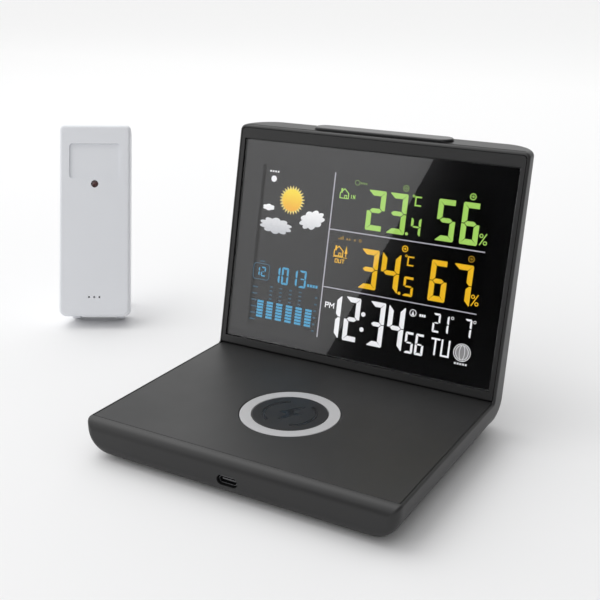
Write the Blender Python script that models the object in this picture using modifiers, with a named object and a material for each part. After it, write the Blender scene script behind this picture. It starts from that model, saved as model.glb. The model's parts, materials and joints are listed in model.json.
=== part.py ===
"""Home weather station: a console whose base is a wireless charging pad, and its outdoor sensor.

The console is an L: a flat base slab, a round heel, and a display slab that leans back. Its housing is one
tray in that shape. A top panel closes the base and a frame closes the display, and both lie inside the rim.
The outdoor sensor stands behind it on the left, leaning back on a fold-out stand.

Frames: "console" has X to the right, Y to the back and Z up, with Y = 0 where the nose's rounding ends.
"display" has X to the right, Y into the display and Z up its slope. "sensor_body" has X across the sensor,
Y from its front to its back, and Z up its length.
"""

import math

import bmesh
import bpy
from mathutils import Matrix, Vector

MM = 0.001

# Place of the console and the sensor, from the centre of the whole set's footprint
CONSOLE_PLACE = (73.5 * MM, -86.7 * MM)
SENSOR_PLACE = (-105.5 * MM, 32.5 * MM)
SENSOR_TURN = math.radians(29.8)
SENSOR_LEAN = math.radians(19.3)

# Console: the L body
WIDTH = 153 * MM
BASE_BOTTOM = 1.2 * MM
BASE_TOP = 18 * MM
TOP_Z = 130.2 * MM
NOSE_Y = -5 * MM
DISPLAY_Y = 102 * MM
LEAN = math.radians(12.3)
DISPLAY_THICKNESS = 18 * MM
BASE_SKIN_RADIUS, HEEL_SKIN_RADIUS, TOP_SKIN_RADIUS = 12.5 * MM, 8 * MM, 14 * MM
RIM_RADIUS = 1.2 * MM
HEEL_RADIUS = 16 * MM
CROOK_RADIUS = 2 * MM
SIDE_DRAFT = 0.006
NOSE_TOP_RADIUS = 5 * MM
NOSE_BOTTOM_RADIUS = 6 * MM
NOSE_CORNER_RADIUS = 5 * MM
TOP_BACK_RADIUS = 3 * MM
TOP_CORNER_RADIUS = 3 * MM
WALL = 2.2 * MM
LEDGE = 1.8 * MM
RIM = 1.25 * MM
GAP = 0.3 * MM
PANEL = 1.5 * MM

# Sides of round pieces, by size
WIDE_SIDES, ROUND_SIDES, SMALL_SIDES, TINY_SIDES = 40, 20, 12, 8

# Console: what it carries
PAD_Y = 46.3 * MM
RING_OUTER, RING_INNER = 22.8 * MM, 17.5 * MM
PORT_Z = 8.3 * MM
BASE_SCREWS = [(x * MM, y * MM) for x in (-55, 55) for y in (12, 88)]
FEET = [(x * MM, y * MM) for x in (-54, 54) for y in (22, 98)]
BACK_SCREWS = [(x * MM, 108 * MM) for x in (-55, 55)]
BAR_Y, BAR_LENGTH, BAR_WIDTH = 134.7 * MM, 73 * MM, 10 * MM
BAR_TOP = TOP_Z + 1.9 * MM
KEY_COUNT, KEY_PITCH, KEY_S = 6, 14 * MM, 88 * MM
GLASS_HALF, GLASS_LOW, GLASS_HIGH = 72.65 * MM, 5 * MM, 107.8 * MM
GLASS_DEPTH = 0.8 * MM
COIN_X, COIN_S, COIN_DOOR_RADIUS = -30 * MM, 50 * MM, 12.5 * MM
INLET_X, INLET_S = 50 * MM, 12 * MM
VENT_X = [x * MM for x in (37, 41, 45, 49, 53)]

# Outdoor sensor
SENSOR_HALF = 21.5 * MM
SENSOR_HEIGHT = 115 * MM
SENSOR_DEPTH = 22 * MM
SENSOR_WALL = 1.8 * MM
SPLIT_Y = 12 * MM
NUB_BACK, NUB_DROP = 19 * MM, 1.2 * MM
LED_Z = 79.6 * MM
CELL_RADIUS, CELL_X, CELL_Y = 5.25 * MM, 5.7 * MM, 14.6 * MM
DOOR_LOW, DOOR_HIGH, DOOR_HALF = 6 * MM, 72.1 * MM, 11.4 * MM
SIDE_TAPER = 0.14
SENSOR_SCREWS = [(x * MM, 109 * MM) for x in (-13.5, 13.5)]
CONTROL_Z = 64.5 * MM
HINGE_Y, HINGE_Z = 24.6 * MM, 50 * MM
STAND_LENGTH, STAND_HALF_THICKNESS = 46.7 * MM, 1.2 * MM
LEG_INNER, LEG_OUTER = 11.7 * MM, 13.6 * MM

# Heights and angles that follow from these
SENSOR_LIFT = NUB_BACK * math.sin(SENSOR_LEAN) + NUB_DROP * math.cos(SENSOR_LEAN)
HINGE_HEIGHT = SENSOR_LIFT + HINGE_Z * math.cos(SENSOR_LEAN) - HINGE_Y * math.sin(SENSOR_LEAN)
STAND_ANGLE = SENSOR_LEAN + math.acos(
    (HINGE_HEIGHT - STAND_HALF_THICKNESS) / (STAND_LENGTH - STAND_HALF_THICKNESS)
)

# Colour, roughness and metallic value of each finish
FINISHES = {
    "black_plastic": ((0.030, 0.030, 0.031), 0.45, 0.0),
    "black_satin": ((0.022, 0.022, 0.023), 0.30, 0.0),
    "window": ((0.012, 0.012, 0.014), 0.05, 0.0),
    "lcd": ((0.05, 0.06, 0.07), 0.15, 0.0),
    "light_guide": ((0.80, 0.82, 0.84), 0.35, 0.0),
    "ring": ((0.62, 0.62, 0.63), 0.40, 0.0),
    "white_plastic": ((0.78, 0.79, 0.82), 0.42, 0.0),
    "inner_plastic": ((0.12, 0.12, 0.12), 0.60, 0.0),
    "board": ((0.02, 0.16, 0.07), 0.50, 0.0),
    "rubber": ((0.025, 0.025, 0.025), 0.90, 0.0),
    "steel": ((0.60, 0.60, 0.60), 0.30, 1.0),
    "copper": ((0.72, 0.36, 0.18), 0.35, 1.0),
    "ferrite": ((0.06, 0.06, 0.06), 0.70, 0.0),
    "cell_label": ((0.10, 0.16, 0.35), 0.40, 0.3),
    "led_lens": ((0.10, 0.012, 0.010), 0.15, 0.0),
}


# ---------------------------------------------------------------- scene and objects

def clear_scene():
    for obj in list(bpy.data.objects):
        bpy.data.objects.remove(obj, do_unlink=True)


def new_collection(name):
    found = bpy.data.collections.get(name) or bpy.data.collections.new(name)
    if found.name not in bpy.context.scene.collection.children:
        bpy.context.scene.collection.children.link(found)
    return found


def new_frame(name, place=(0, 0, 0), turn=(0, 0, 0), parent=None):
    """An empty that pieces are modelled in."""
    empty = bpy.data.objects.new(name, None)
    empty.location = place
    empty.rotation_euler = turn
    empty.parent = parent
    bpy.context.scene.collection.objects.link(empty)
    return empty


def new_material(name, finish):
    colour, roughness, metallic = FINISHES[finish]
    made = bpy.data.materials.new(name)
    made.use_nodes = True
    shader = made.node_tree.nodes["Principled BSDF"]
    shader.inputs["Base Color"].default_value = (*colour, 1)
    shader.inputs["Roughness"].default_value = roughness
    shader.inputs["Metallic"].default_value = metallic
    made.diffuse_color = (*colour, 1)
    return made


def mesh_of(name, bm):
    bmesh.ops.recalc_face_normals(bm, faces=bm.faces)
    mesh = bpy.data.meshes.new(name)
    bm.to_mesh(mesh)
    bm.free()
    return mesh


def link_part(name, data, finish, frame, origin=(0, 0, 0)):
    obj = bpy.data.objects.new(name, data)
    obj.parent = frame
    obj.location = origin
    data.materials.append(new_material(name, finish))
    new_collection("home_weather_station").objects.link(obj)
    return obj


def part(name, bm, finish, frame, origin=(0, 0, 0)):
    """A piece from a shape in its frame. Its own origin goes to the point given."""
    bmesh.ops.translate(bm, verts=bm.verts, vec=-Vector(origin))
    mesh = mesh_of(name, bm)
    mesh.shade_smooth()
    mesh.set_sharp_from_angle(angle=math.radians(32))
    return link_part(name, mesh, finish, frame, origin)


def boolean(target, operation, shape, frame):
    tool = bpy.data.objects.new(f"tool_{target.name}", mesh_of(f"tool_{target.name}", shape))
    tool.parent = frame or target.parent
    tool.hide_render = True
    tool.display_type = "WIRE"
    new_collection("cutters").objects.link(tool)
    modifier = target.modifiers.new(operation.lower(), "BOOLEAN")
    modifier.operation = operation
    modifier.solver = "EXACT"
    modifier.object = tool


def cut(target, *shapes, frame=None):
    for shape in shapes:
        boolean(target, "DIFFERENCE", shape, frame)


def add(target, *shapes, frame=None):
    for shape in shapes:
        boolean(target, "UNION", shape, frame)


# ---------------------------------------------------------------- shapes

def box(x, y, z):
    """A box between the pairs of limits x, y and z."""
    bm = bmesh.new()
    bmesh.ops.create_cube(bm, size=1)
    for v in bm.verts:
        v.co = [low + (c + 0.5) * (high - low) for c, (low, high) in zip(v.co, (x, y, z))]
    return bm


def edges_along(bm, axis, keep=lambda middle: True):
    found = []
    for edge in bm.edges:
        a, b = (v.co for v in edge.verts)
        if abs((a - b).normalized()["xyz".index(axis)]) > 0.99 and keep((a + b) / 2):
            found.append(edge)
    return found


def round_edges(bm, edges, radius, segments):
    bmesh.ops.bevel(bm, geom=edges, offset=radius, segments=segments, profile=0.5, affect="EDGES")


def rounded_box(x, y, z, radius, along="z", segments=4):
    """A box whose four edges along one axis are rounded."""
    bm = box(x, y, z)
    round_edges(bm, edges_along(bm, along), radius, segments)
    return bm


def rod(along, at, span, radius, sides=SMALL_SIDES):
    """A cylinder along an axis: at is its place on the other two axes, in order, and span its ends."""
    axis = "xyz".index(along)
    place = list(at)
    place.insert(axis, sum(span) / 2)
    turn = {"x": Matrix.Rotation(math.pi / 2, 4, "Y"), "y": Matrix.Rotation(math.pi / 2, 4, "X")}
    bm = bmesh.new()
    bmesh.ops.create_cone(
        bm,
        cap_ends=True,
        segments=sides,
        radius1=radius,
        radius2=radius,
        depth=span[1] - span[0],
        matrix=Matrix.Translation(place) @ turn.get(along, Matrix.Identity(4)),
    )
    return bm


def prism(outline, span):
    """A flat outline of (x, y) points, extruded along Z."""
    bm = bmesh.new()
    face = bm.faces.new([bm.verts.new((x, y, span[0])) for x, y in outline])
    raised = bmesh.ops.extrude_face_region(bm, geom=[face])["geom"]
    verts = [v for v in raised if isinstance(v, bmesh.types.BMVert)]
    bmesh.ops.translate(bm, verts=verts, vec=(0, 0, span[1] - span[0]))
    return bm


def turned(name, profile, finish, frame, at=(0, 0, 0), along="z", closed=False, sides=ROUND_SIDES):
    """A turned piece from (radius, height) points in millimetres, from its top down its outer side."""
    mesh = bpy.data.meshes.new(name)
    points = [(r * MM, 0, h * MM) for r, h in profile]
    edges = [(i, i + 1) for i in range(len(points) - 1)]
    if closed:
        edges.append((len(points) - 1, 0))
    mesh.from_pydata(points, edges, [])
    obj = link_part(name, mesh, finish, frame, at)
    obj.rotation_euler = {"x": (0, math.pi / 2, 0), "y": (-math.pi / 2, 0, 0), "z": (0, 0, 0)}[along]
    screw = obj.modifiers.new("turn", "SCREW")
    screw.steps = screw.render_steps = sides
    screw.use_merge_vertices = True
    screw.merge_threshold = 0.00002
    screw.use_smooth_shade = True
    return obj


def wire(name, points, radius, finish, frame, resolution=1):
    """A wire through points, as a mesh, with its caps welded on."""
    curve = bpy.data.curves.new(name, "CURVE")
    curve.dimensions = "3D"
    curve.bevel_depth = radius
    curve.bevel_resolution = resolution
    curve.use_fill_caps = True
    spline = curve.splines.new("POLY")
    spline.points.add(len(points) - 1)
    for point, place in zip(spline.points, points):
        point.co = (*place, 1)
    guide = bpy.data.objects.new(name + "_guide", curve)
    bpy.context.scene.collection.objects.link(guide)
    evaluated = guide.evaluated_get(bpy.context.evaluated_depsgraph_get())
    mesh = bpy.data.meshes.new_from_object(evaluated)
    bpy.data.objects.remove(guide, do_unlink=True)
    bm = bmesh.new()
    bm.from_mesh(mesh)
    bmesh.ops.remove_doubles(bm, verts=bm.verts, dist=0.00001)
    return part(name, bm, finish, frame)


def coil_points(centre, radius, low, high, turns, steps):
    """Points along a helix about Z."""
    count = turns * steps
    return [
        Vector(
            (
                centre[0] + radius * math.cos(2 * math.pi * k / steps),
                centre[1] + radius * math.sin(2 * math.pi * k / steps),
                low + (high - low) * k / count,
            )
        )
        for k in range(count + 1)
    ]


# ---------------------------------------------------------------- the L body

def quarter(steps):
    return [math.radians(90 * k / steps) for k in range(steps + 1)]


def edge_inset(radius, distance):
    """How far a rounded edge lies inside its face, at this distance from the end face."""
    if distance >= radius:
        return 0.0
    return radius - math.sqrt(radius**2 - (radius - distance) ** 2)


def drawn_in(depth):
    """The side walls' draft: how much narrower the L is at this depth behind its open face."""
    return 1 - SIDE_DRAFT * depth / DISPLAY_THICKNESS


def section(inner, outer, half_width, inner_radius, outer_radius, steps):
    """One closed loop across the L, in the plane through X and the line between two (y, z) points."""
    depth = (outer - inner).length
    away = (outer - inner) / depth
    side = [
        (half_width - inner_radius * (1 - math.sin(a)), inner_radius * (1 - math.cos(a)))
        for a in quarter(2)
    ]
    side += [
        (half_width - outer_radius * (1 - math.cos(a)), depth - outer_radius * (1 - math.sin(a)))
        for a in quarter(steps)
    ]
    loop = side + [(-x, v) for x, v in reversed(side)]
    return [(x * drawn_in(v), inner.x + v * away.x, inner.y + v * away.y) for x, v in loop]


def behind_display(height, depth):
    """The (y, z) point at a height, on the plane this deep behind the display's front."""
    start = Vector((DISPLAY_Y + depth * math.cos(LEAN), BASE_TOP - depth * math.sin(LEAN)))
    return start + Vector((math.tan(LEAN), 1)) * (height - start.y)


def nose_loops(wall, lid, half):
    top_r, bottom_r, corner_r = (
        max(r - wall, 0.3 * MM) for r in (NOSE_TOP_RADIUS, NOSE_BOTTOM_RADIUS, NOSE_CORNER_RADIUS)
    )
    full = BASE_TOP - BASE_BOTTOM - wall - lid
    for a in quarter(4):
        distance = bottom_r * (1 - math.cos(a))
        y = NOSE_Y + wall + distance
        top = BASE_TOP - lid - edge_inset(top_r, distance)
        bottom = BASE_BOTTOM + wall + edge_inset(bottom_r, distance)
        share = (top - bottom) / full
        width = half - edge_inset(corner_r, distance)
        yield Vector((y, top)), Vector((y, bottom)), width, share, BASE_SKIN_RADIUS


def heel_loops(wall, lid, half, steps):
    turn = math.pi / 2 - LEAN
    inner_centre = Vector((DISPLAY_Y - CROOK_RADIUS * math.tan(turn / 2), BASE_TOP + CROOK_RADIUS))
    outer_z = BASE_BOTTOM + HEEL_RADIUS
    reach = DISPLAY_THICKNESS - HEEL_RADIUS + (outer_z - BASE_TOP) * math.sin(LEAN)
    outer_centre = Vector((DISPLAY_Y + reach / math.cos(LEAN), outer_z))
    for k in range(steps + 1):
        a = turn * k / steps
        out = Vector((math.sin(a), -math.cos(a)))
        inner, outer = inner_centre + out * (CROOK_RADIUS + lid), outer_centre + out * (HEEL_RADIUS - wall)
        skin = BASE_SKIN_RADIUS + (HEEL_SKIN_RADIUS - BASE_SKIN_RADIUS) * k / steps
        yield inner, outer, half, 1, skin


def top_loops(wall, lid, half):
    back_r, corner_r = (max(r - wall, 0.3 * MM) for r in (TOP_BACK_RADIUS, TOP_CORNER_RADIUS))
    front_r = max(RIM_RADIUS - wall, 0.3 * MM)
    for a in reversed(quarter(3)):
        distance = back_r * (1 - math.cos(a))
        height = TOP_Z - wall - distance
        front = behind_display(height, lid + edge_inset(front_r, distance))
        back = behind_display(height, DISPLAY_THICKNESS - wall - edge_inset(back_r, distance))
        yield front, back, half - edge_inset(corner_r, distance), 1, TOP_SKIN_RADIUS


def l_body(wall=0.0, lid=0.0, steps=5):
    """The L as a closed loft, this far inside the outer skin and this deep under the open face."""
    half = WIDTH / 2 - wall
    inner_r = max(RIM_RADIUS - wall, 0.2 * MM)
    bm = bmesh.new()
    loops = []
    stations = [*nose_loops(wall, lid, half), *heel_loops(wall, lid, half, steps)]
    stations += top_loops(wall, lid, half)
    for inner, outer, width, share, skin in stations:
        points = section(inner, outer, width, inner_r * share, (skin - wall) * share, steps)
        loops.append([bm.verts.new(p) for p in points])
    for a, b in zip(loops, loops[1:]):
        for i in range(len(a)):
            j = (i + 1) % len(a)
            bm.faces.new((a[i], a[j], b[j], b[i]))
    bm.faces.new(loops[0])
    bm.faces.new(loops[-1])
    return bm


# ---------------------------------------------------------------- console

def stadium(length, width, centre_y, z, segments=5):
    bounds = ((-length / 2, length / 2), (centre_y - width / 2, centre_y + width / 2))
    return rounded_box(*bounds, z, width / 2 - 0.02 * MM, segments=segments)


def make_housing(console, display):
    """The L tray: side rims, nose, bottom, heel, back and top in one piece."""
    housing = part("housing", l_body(), "black_plastic", console)
    rim_half = WIDTH / 2 - RIM
    cut(housing, l_body(wall=WALL, lid=PANEL, steps=3))
    cut(housing, box((-rim_half, rim_half), (0.05 * MM, 103.5 * MM), (BASE_TOP - LEDGE, 22 * MM)))
    seat = rounded_box((-rim_half, rim_half), (-4 * MM, LEDGE), (-0.5 * MM, 113.55 * MM), 1.8 * MM, "y", 3)
    cut(housing, seat, frame=display)
    for x, y in BASE_SCREWS:
        add(housing, rod("z", (x, y), (3 * MM, 6 * MM), 4.5 * MM))
        cut(housing, rod("z", (x, y), (0, 3.8 * MM), 3 * MM))
        cut(housing, rod("z", (x, y), (3 * MM, 7 * MM), 1.6 * MM, TINY_SIDES))
    for x, y in FEET:
        cut(housing, rod("z", (x, y), (0, 2 * MM), 5.5 * MM))
    for x, s in BACK_SCREWS:
        add(housing, rod("y", (x, s), (9.5 * MM, 16 * MM), 4.2 * MM), frame=display)
        head, shank = (15.5 * MM, 20 * MM), (9 * MM, 16 * MM)
        cut(housing, rod("y", (x, s), head, 3 * MM), frame=display)
        cut(housing, rod("y", (x, s), shank, 1.6 * MM, TINY_SIDES), frame=display)
    for x in (-28, 28):
        for y in (8, 66):
            add(housing, rod("z", (x * MM, y * MM), (3 * MM, 4.5 * MM), 2 * MM, TINY_SIDES))
    cut_housing_openings(housing, display)


def cut_housing_openings(housing, display):
    port_z = (PORT_Z - 2.25 * MM, PORT_Z + 2.25 * MM)
    cut(housing, rounded_box((-5 * MM, 5 * MM), (-7 * MM, -2 * MM), port_z, 2.2 * MM, "y", 4))
    cut(housing, stadium(BAR_LENGTH + 2 * GAP, BAR_WIDTH + 2 * GAP, BAR_Y, (126 * MM, 134 * MM)))
    through = (15 * MM, 20 * MM)
    for x in key_places():
        cut(housing, rod("y", (x, KEY_S), through, 4 * MM), frame=display)
    cut(housing, rod("y", (COIN_X, COIN_S), through, COIN_DOOR_RADIUS + GAP, WIDE_SIDES), frame=display)
    cut(housing, rod("y", (INLET_X, INLET_S), through, 4.6 * MM, ROUND_SIDES), frame=display)
    for x in VENT_X:
        slot = rounded_box((x - 0.8 * MM, x + 0.8 * MM), through, (28 * MM, 46 * MM), 0.78 * MM, "y", 1)
        cut(housing, slot, frame=display)


def key_places():
    return [(i - (KEY_COUNT - 1) / 2) * KEY_PITCH for i in range(KEY_COUNT)]


def make_base_panel(console):
    half = WIDTH / 2 - RIM - GAP
    bm = box((-half, half), (0.35 * MM, 103.2 * MM), (BASE_TOP - PANEL, BASE_TOP))
    panel = part("base_top_panel", bm, "black_plastic", console)
    for x, y in BASE_SCREWS:
        add(panel, rod("z", (x, y), (6.3 * MM, 16.8 * MM), 3.2 * MM))
        cut(panel, rod("z", (x, y), (5 * MM, 15 * MM), 1.6 * MM, TINY_SIDES))
    cut(panel, rod("z", (0, PAD_Y), (16 * MM, 19 * MM), RING_OUTER + GAP, WIDE_SIDES))


def charging_mark():
    """A lightning bolt, as an outline round the pad's centre."""
    bolt = [(1.6, 8.6), (-5.4, -1.2), (-0.9, -1.2), (-2.0, -8.6), (5.4, 1.8), (0.9, 1.8), (3.4, 8.6)]
    return [(x * MM, PAD_Y + y * MM) for x, y in bolt]


def make_charging_pad(console):
    """The light ring and disc in the top panel, and the coil below them."""
    at = (0, PAD_Y, 0)
    ring = [(17.5, 18), (22.8, 18), (22.8, 15.8), (17.5, 15.8)]
    turned("charging_ring", ring, "ring", console, at, closed=True, sides=WIDE_SIDES)
    face = [(0, 18), (17.2, 18), (17.2, 15.8), (0, 15.8)]
    disc = turned("charging_disc", face, "black_satin", console, at, sides=WIDE_SIDES)
    cut(disc, prism(charging_mark(), (BASE_TOP - 0.35 * MM, BASE_TOP + 1 * MM)))
    cup = [(0, 12), (23.6, 12), (23.6, 15.9), (26, 15.9), (26, 10.8), (0, 10.8)]
    turned("coil_carrier", cup, "inner_plastic", console, at, sides=WIDE_SIDES)
    plate = [(0, 12.9), (23, 12.9), (23, 12.3), (0, 12.3)]
    turned("ferrite_plate", plate, "ferrite", console, at, sides=WIDE_SIDES)
    coil = [(9, 15.4), (21.5, 15.4), (21.5, 13.2), (9, 13.2)]
    turned("charging_coil", coil, "copper", console, at, closed=True, sides=WIDE_SIDES)


def make_charger(console):
    bm = box((-32 * MM, 32 * MM), (1 * MM, 72 * MM), (4.8 * MM, 6.4 * MM))
    board = part("charger_board", bm, "board", console)
    chips = [((-26, -16), (38, 48), 8.4), ((12, 22), (50, 60), 9.6), ((-10, -2), (58, 66), 8.8)]
    for x, y, top in chips:
        add(board, box([v * MM for v in x], [v * MM for v in y], (6.2 * MM, top * MM)))
    socket_z = (PORT_Z - 1.6 * MM, PORT_Z + 1.6 * MM)
    bm = rounded_box((-4.47 * MM, 4.47 * MM), (-3.8 * MM, 3.4 * MM), socket_z, 1.5 * MM, "y", 4)
    socket = part("usb_c_socket", bm, "steel", console)
    mouth_z = (PORT_Z - 1.3 * MM, PORT_Z + 1.3 * MM)
    cut(socket, rounded_box((-4.15 * MM, 4.15 * MM), (-5 * MM, 2.2 * MM), mouth_z, 1.25 * MM, "y", 4))
    add(socket, box((-3.3 * MM, 3.3 * MM), (-3.1 * MM, 2.6 * MM), (PORT_Z - 0.35 * MM, PORT_Z + 0.35 * MM)))


def make_harness(console):
    """The flat cable from the charger board, round the heel, to the main board."""
    route = [(72.4, 8.3), (94, 8.3), (104, 10), (111, 15.5), (115, 23), (117.2, 33)]
    bm = bmesh.new()
    rows = [[bm.verts.new((x * MM, y * MM, z * MM)) for x in (-6, 6)] for y, z in route]
    for a, b in zip(rows, rows[1:]):
        bm.faces.new((a[0], a[1], b[1], b[0]))
    harness = part("display_harness", bm, "inner_plastic", console)
    thick = harness.modifiers.new("thickness", "SOLIDIFY")
    thick.thickness = 0.8 * MM
    thick.offset = 0
    thick.use_even_offset = True


def make_snooze_bar(console):
    bar = stadium(BAR_LENGTH, BAR_WIDTH, BAR_Y, (127 * MM, BAR_TOP))
    top = [e for e in bar.edges if all(v.co.z > BAR_TOP - 0.1 * MM for v in e.verts)]
    round_edges(bar, top, 0.6 * MM, 2)
    snooze = part("snooze_bar", bar, "black_satin", console)
    add(snooze, stadium(76 * MM, 11.4 * MM, BAR_Y, (126.2 * MM, 127.5 * MM), 4))
    add(snooze, rod("z", (0, BAR_Y), (125.1 * MM, 126.6 * MM), 2.2 * MM, TINY_SIDES))
    bm = box((-20 * MM, 20 * MM), (130.6 * MM, 139.2 * MM), (119.8 * MM, 121 * MM))
    board = part("snooze_switch_board", bm, "board", console)
    add(board, box((-3 * MM, 3 * MM), (BAR_Y - 3 * MM, BAR_Y + 3 * MM), (120.8 * MM, 123.6 * MM)))


def make_feet(console):
    for i, (x, y) in enumerate(FEET):
        foot = [(0, 1.7), (5, 1.7), (5, 0.4), (4.6, 0), (0, 0)]
        turned(f"rubber_foot_{i + 1}", foot, "rubber", console, (x, y, 0))


def cross_recess(at, depth, along_y):
    """Two crossed slots for a screw head."""
    (u, w), (low, high) = at, depth
    long, short = 1.5 * MM, 0.4 * MM
    for a, b in ((long, short), (short, long)):
        if along_y:
            yield box((u - a, u + a), (low, high), (w - b, w + b))
        else:
            yield box((u - a, u + a), (w - b, w + b), (low, high))


def make_console_screws(console, display):
    """Heads face down under the base and back behind the display."""
    for i, (x, y) in enumerate(BASE_SCREWS):
        profile = [(0, 13), (1.25, 13), (1.25, 3.5), (2.6, 3.5), (2.6, 1.7), (0, 1.7)]
        screw = turned(f"base_screw_{i + 1}", profile, "steel", console, (x, y, 0), sides=SMALL_SIDES)
        cut(screw, *cross_recess((x, y), (1 * MM, 2.6 * MM), False))
    for i, (x, s) in enumerate(BACK_SCREWS):
        profile = [(0, 17.4), (2.6, 17.4), (2.6, 15.8), (1.25, 15.8), (1.25, 4.6), (0, 4.6)]
        screw = turned(f"back_screw_{i + 1}", profile, "steel", display, (x, 0, s), "y", sides=SMALL_SIDES)
        cut(screw, *cross_recess((x, s), (16.5 * MM, 18 * MM), True))


def make_display_front(display):
    half = WIDTH / 2 - RIM - GAP
    lip = rounded_box((-half, half), (0, PANEL), (0.8 * MM, 113.25 * MM), 1.8 * MM, "y", 3)
    low_front = [e for e in lip.edges if all(v.co.z < 0.9 * MM and v.co.y < 0.1 * MM for v in e.verts)]
    round_edges(lip, low_front, 1.2 * MM, 3)
    frame = part("display_frame", lip, "black_plastic", display)
    add(frame, box((-73.9 * MM, 73.9 * MM), (1.2 * MM, 3.5 * MM), (2.5 * MM, 109.8 * MM)))
    for x, s in BACK_SCREWS:
        add(frame, rod("y", (x, s), (3.2 * MM, 9.2 * MM), 2.9 * MM))
    seat = GLASS_HALF + GAP
    cut(frame, box((-seat, seat), (-1 * MM, GLASS_DEPTH + 1.8 * MM), (GLASS_LOW - GAP, GLASS_HIGH + GAP)))
    cut(frame, box((-70 * MM, 70 * MM), (2 * MM, 4.5 * MM), (7.5 * MM, 104.8 * MM)))
    for x, s in BACK_SCREWS:
        cut(frame, rod("y", (x, s), (4.2 * MM, 10 * MM), 1.6 * MM, TINY_SIDES))
    across, deep = (-GLASS_HALF, GLASS_HALF), (GLASS_DEPTH, GLASS_DEPTH + 1.5 * MM)
    window = rounded_box(across, deep, (GLASS_LOW, GLASS_HIGH), 0.6 * MM, "y", 2)
    part("display_window", window, "window", display)


def make_display_stack(display):
    """The LCD with its carrier and backlight, and the board behind."""
    span = (9.3 * MM, 99.5 * MM)
    bm = box((-67 * MM, 67 * MM), (3.9 * MM, 10 * MM), (6.5 * MM, 102.3 * MM))
    carrier = part("lcd_carrier", bm, "inner_plastic", display)
    cut(carrier, box((-64.5 * MM, 64.5 * MM), (3 * MM, 11 * MM), (9 * MM, 99.8 * MM)))
    part("lcd_panel", box((-64.2 * MM, 64.2 * MM), (4.1 * MM, 6.7 * MM), span), "lcd", display)
    part("lcd_backlight", box((-64.2 * MM, 64.2 * MM), (7 * MM, 9.7 * MM), span), "light_guide", display)
    bm = box((-58 * MM, 58 * MM), (10.6 * MM, 12 * MM), (20 * MM, 100 * MM))
    board = part("main_board", bm, "board", display)
    for x in key_places():
        switch_s = (KEY_S - 2.5 * MM, KEY_S + 2.5 * MM)
        add(board, box((x - 2.5 * MM, x + 2.5 * MM), (11.8 * MM, 12.5 * MM), switch_s))
    for x, s in ((6, 62), (6, 34)):
        chip = ((x - 6) * MM, (x + 6) * MM), (11.8 * MM, 13.4 * MM), ((s - 6) * MM, (s + 6) * MM)
        add(board, box(*chip))


def make_display_fittings(display):
    """What sits on the main board or in the back wall."""
    key = [(0, 18.9), (3.6, 18.9), (3.6, 15.5), (4.6, 15.5), (4.6, 14.4), (2, 14.4), (2, 13.4), (0, 13.4)]
    for i, x in enumerate(key_places()):
        turned(f"rear_key_{i + 1}", key, "black_satin", display, (x, 0, KEY_S), "y", sides=SMALL_SIDES)
    cell = [(0, 15.6), (8.6, 15.6), (10, 15.2), (10, 12.4), (0, 12.4)]
    at = (COIN_X, 0, COIN_S)
    turned("coin_cell", cell, "steel", display, at, "y")
    cover = [(0, 18), (12.5, 18), (12.5, 15.95), (0, 15.95)]
    door = turned("coin_cell_door", cover, "black_plastic", display, at, "y", sides=WIDE_SIDES)
    slot_s = (COIN_S - 0.9 * MM, COIN_S + 0.9 * MM)
    cut(door, box((COIN_X - 7 * MM, COIN_X + 7 * MM), (17.2 * MM, 19 * MM), slot_s))
    can = [(0, 15.2), (6, 15.2), (6, 12.4), (0, 12.4)]
    turned("buzzer", can, "inner_plastic", display, (28 * MM, 0, 60 * MM), "y")
    radio = box((-52 * MM, -34 * MM), (12.3 * MM, 13.5 * MM), (68 * MM, 80 * MM))
    part("radio_module", radio, "board", display)
    antenna = [(-53, 13, 78), (-54.5, 13, 76), (-54.5, 13, 30)]
    wire("radio_antenna", [Vector(p) * MM for p in antenna], 0.5 * MM, "copper", display)
    probe = box((42 * MM, 48 * MM), (12.6 * MM, 14.8 * MM), (35 * MM, 39 * MM))
    part("indoor_probe", probe, "inner_plastic", display)
    half = 4.5 * MM
    body = box((INLET_X - half, INLET_X + half), (10.6 * MM, 15.4 * MM), (INLET_S - half, INLET_S + half))
    inlet = part("power_inlet", body, "inner_plastic", display)
    at = (INLET_X, INLET_S)
    add(inlet, rod("y", at, (15 * MM, 17.8 * MM), 4.2 * MM, ROUND_SIDES))
    cut(inlet, rod("y", at, (11.8 * MM, 19 * MM), 2.8 * MM, ROUND_SIDES))
    add(inlet, rod("y", at, (11.2 * MM, 16.8 * MM), 0.9 * MM, TINY_SIDES))


# ---------------------------------------------------------------- outdoor sensor

def tapered(bm):
    """Draws a shape's sides in towards the case's back."""
    for v in bm.verts:
        v.co.x *= 1 - SIDE_TAPER * v.co.y / SENSOR_DEPTH
    return bm


def case_blank(y, front):
    """Half of the sensor's case, solid, with its outer edges rounded."""
    bm = box((-SENSOR_HALF, SENSOR_HALF), y, (0, SENSOR_HEIGHT))
    round_edges(bm, edges_along(bm, "y", lambda m: m.z > SENSOR_HEIGHT / 2), 1.8 * MM, 3)
    round_edges(bm, edges_along(bm, "y", lambda m: m.z < 1 * MM), 4.5 * MM, 4)
    face_y = y[0] if front else y[1]
    rim = [e for e in bm.edges if all(abs(v.co.y - face_y) < 0.01 * MM for v in e.verts)]
    round_edges(bm, rim, 1.6 * MM, 3)
    return tapered(bm)


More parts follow.
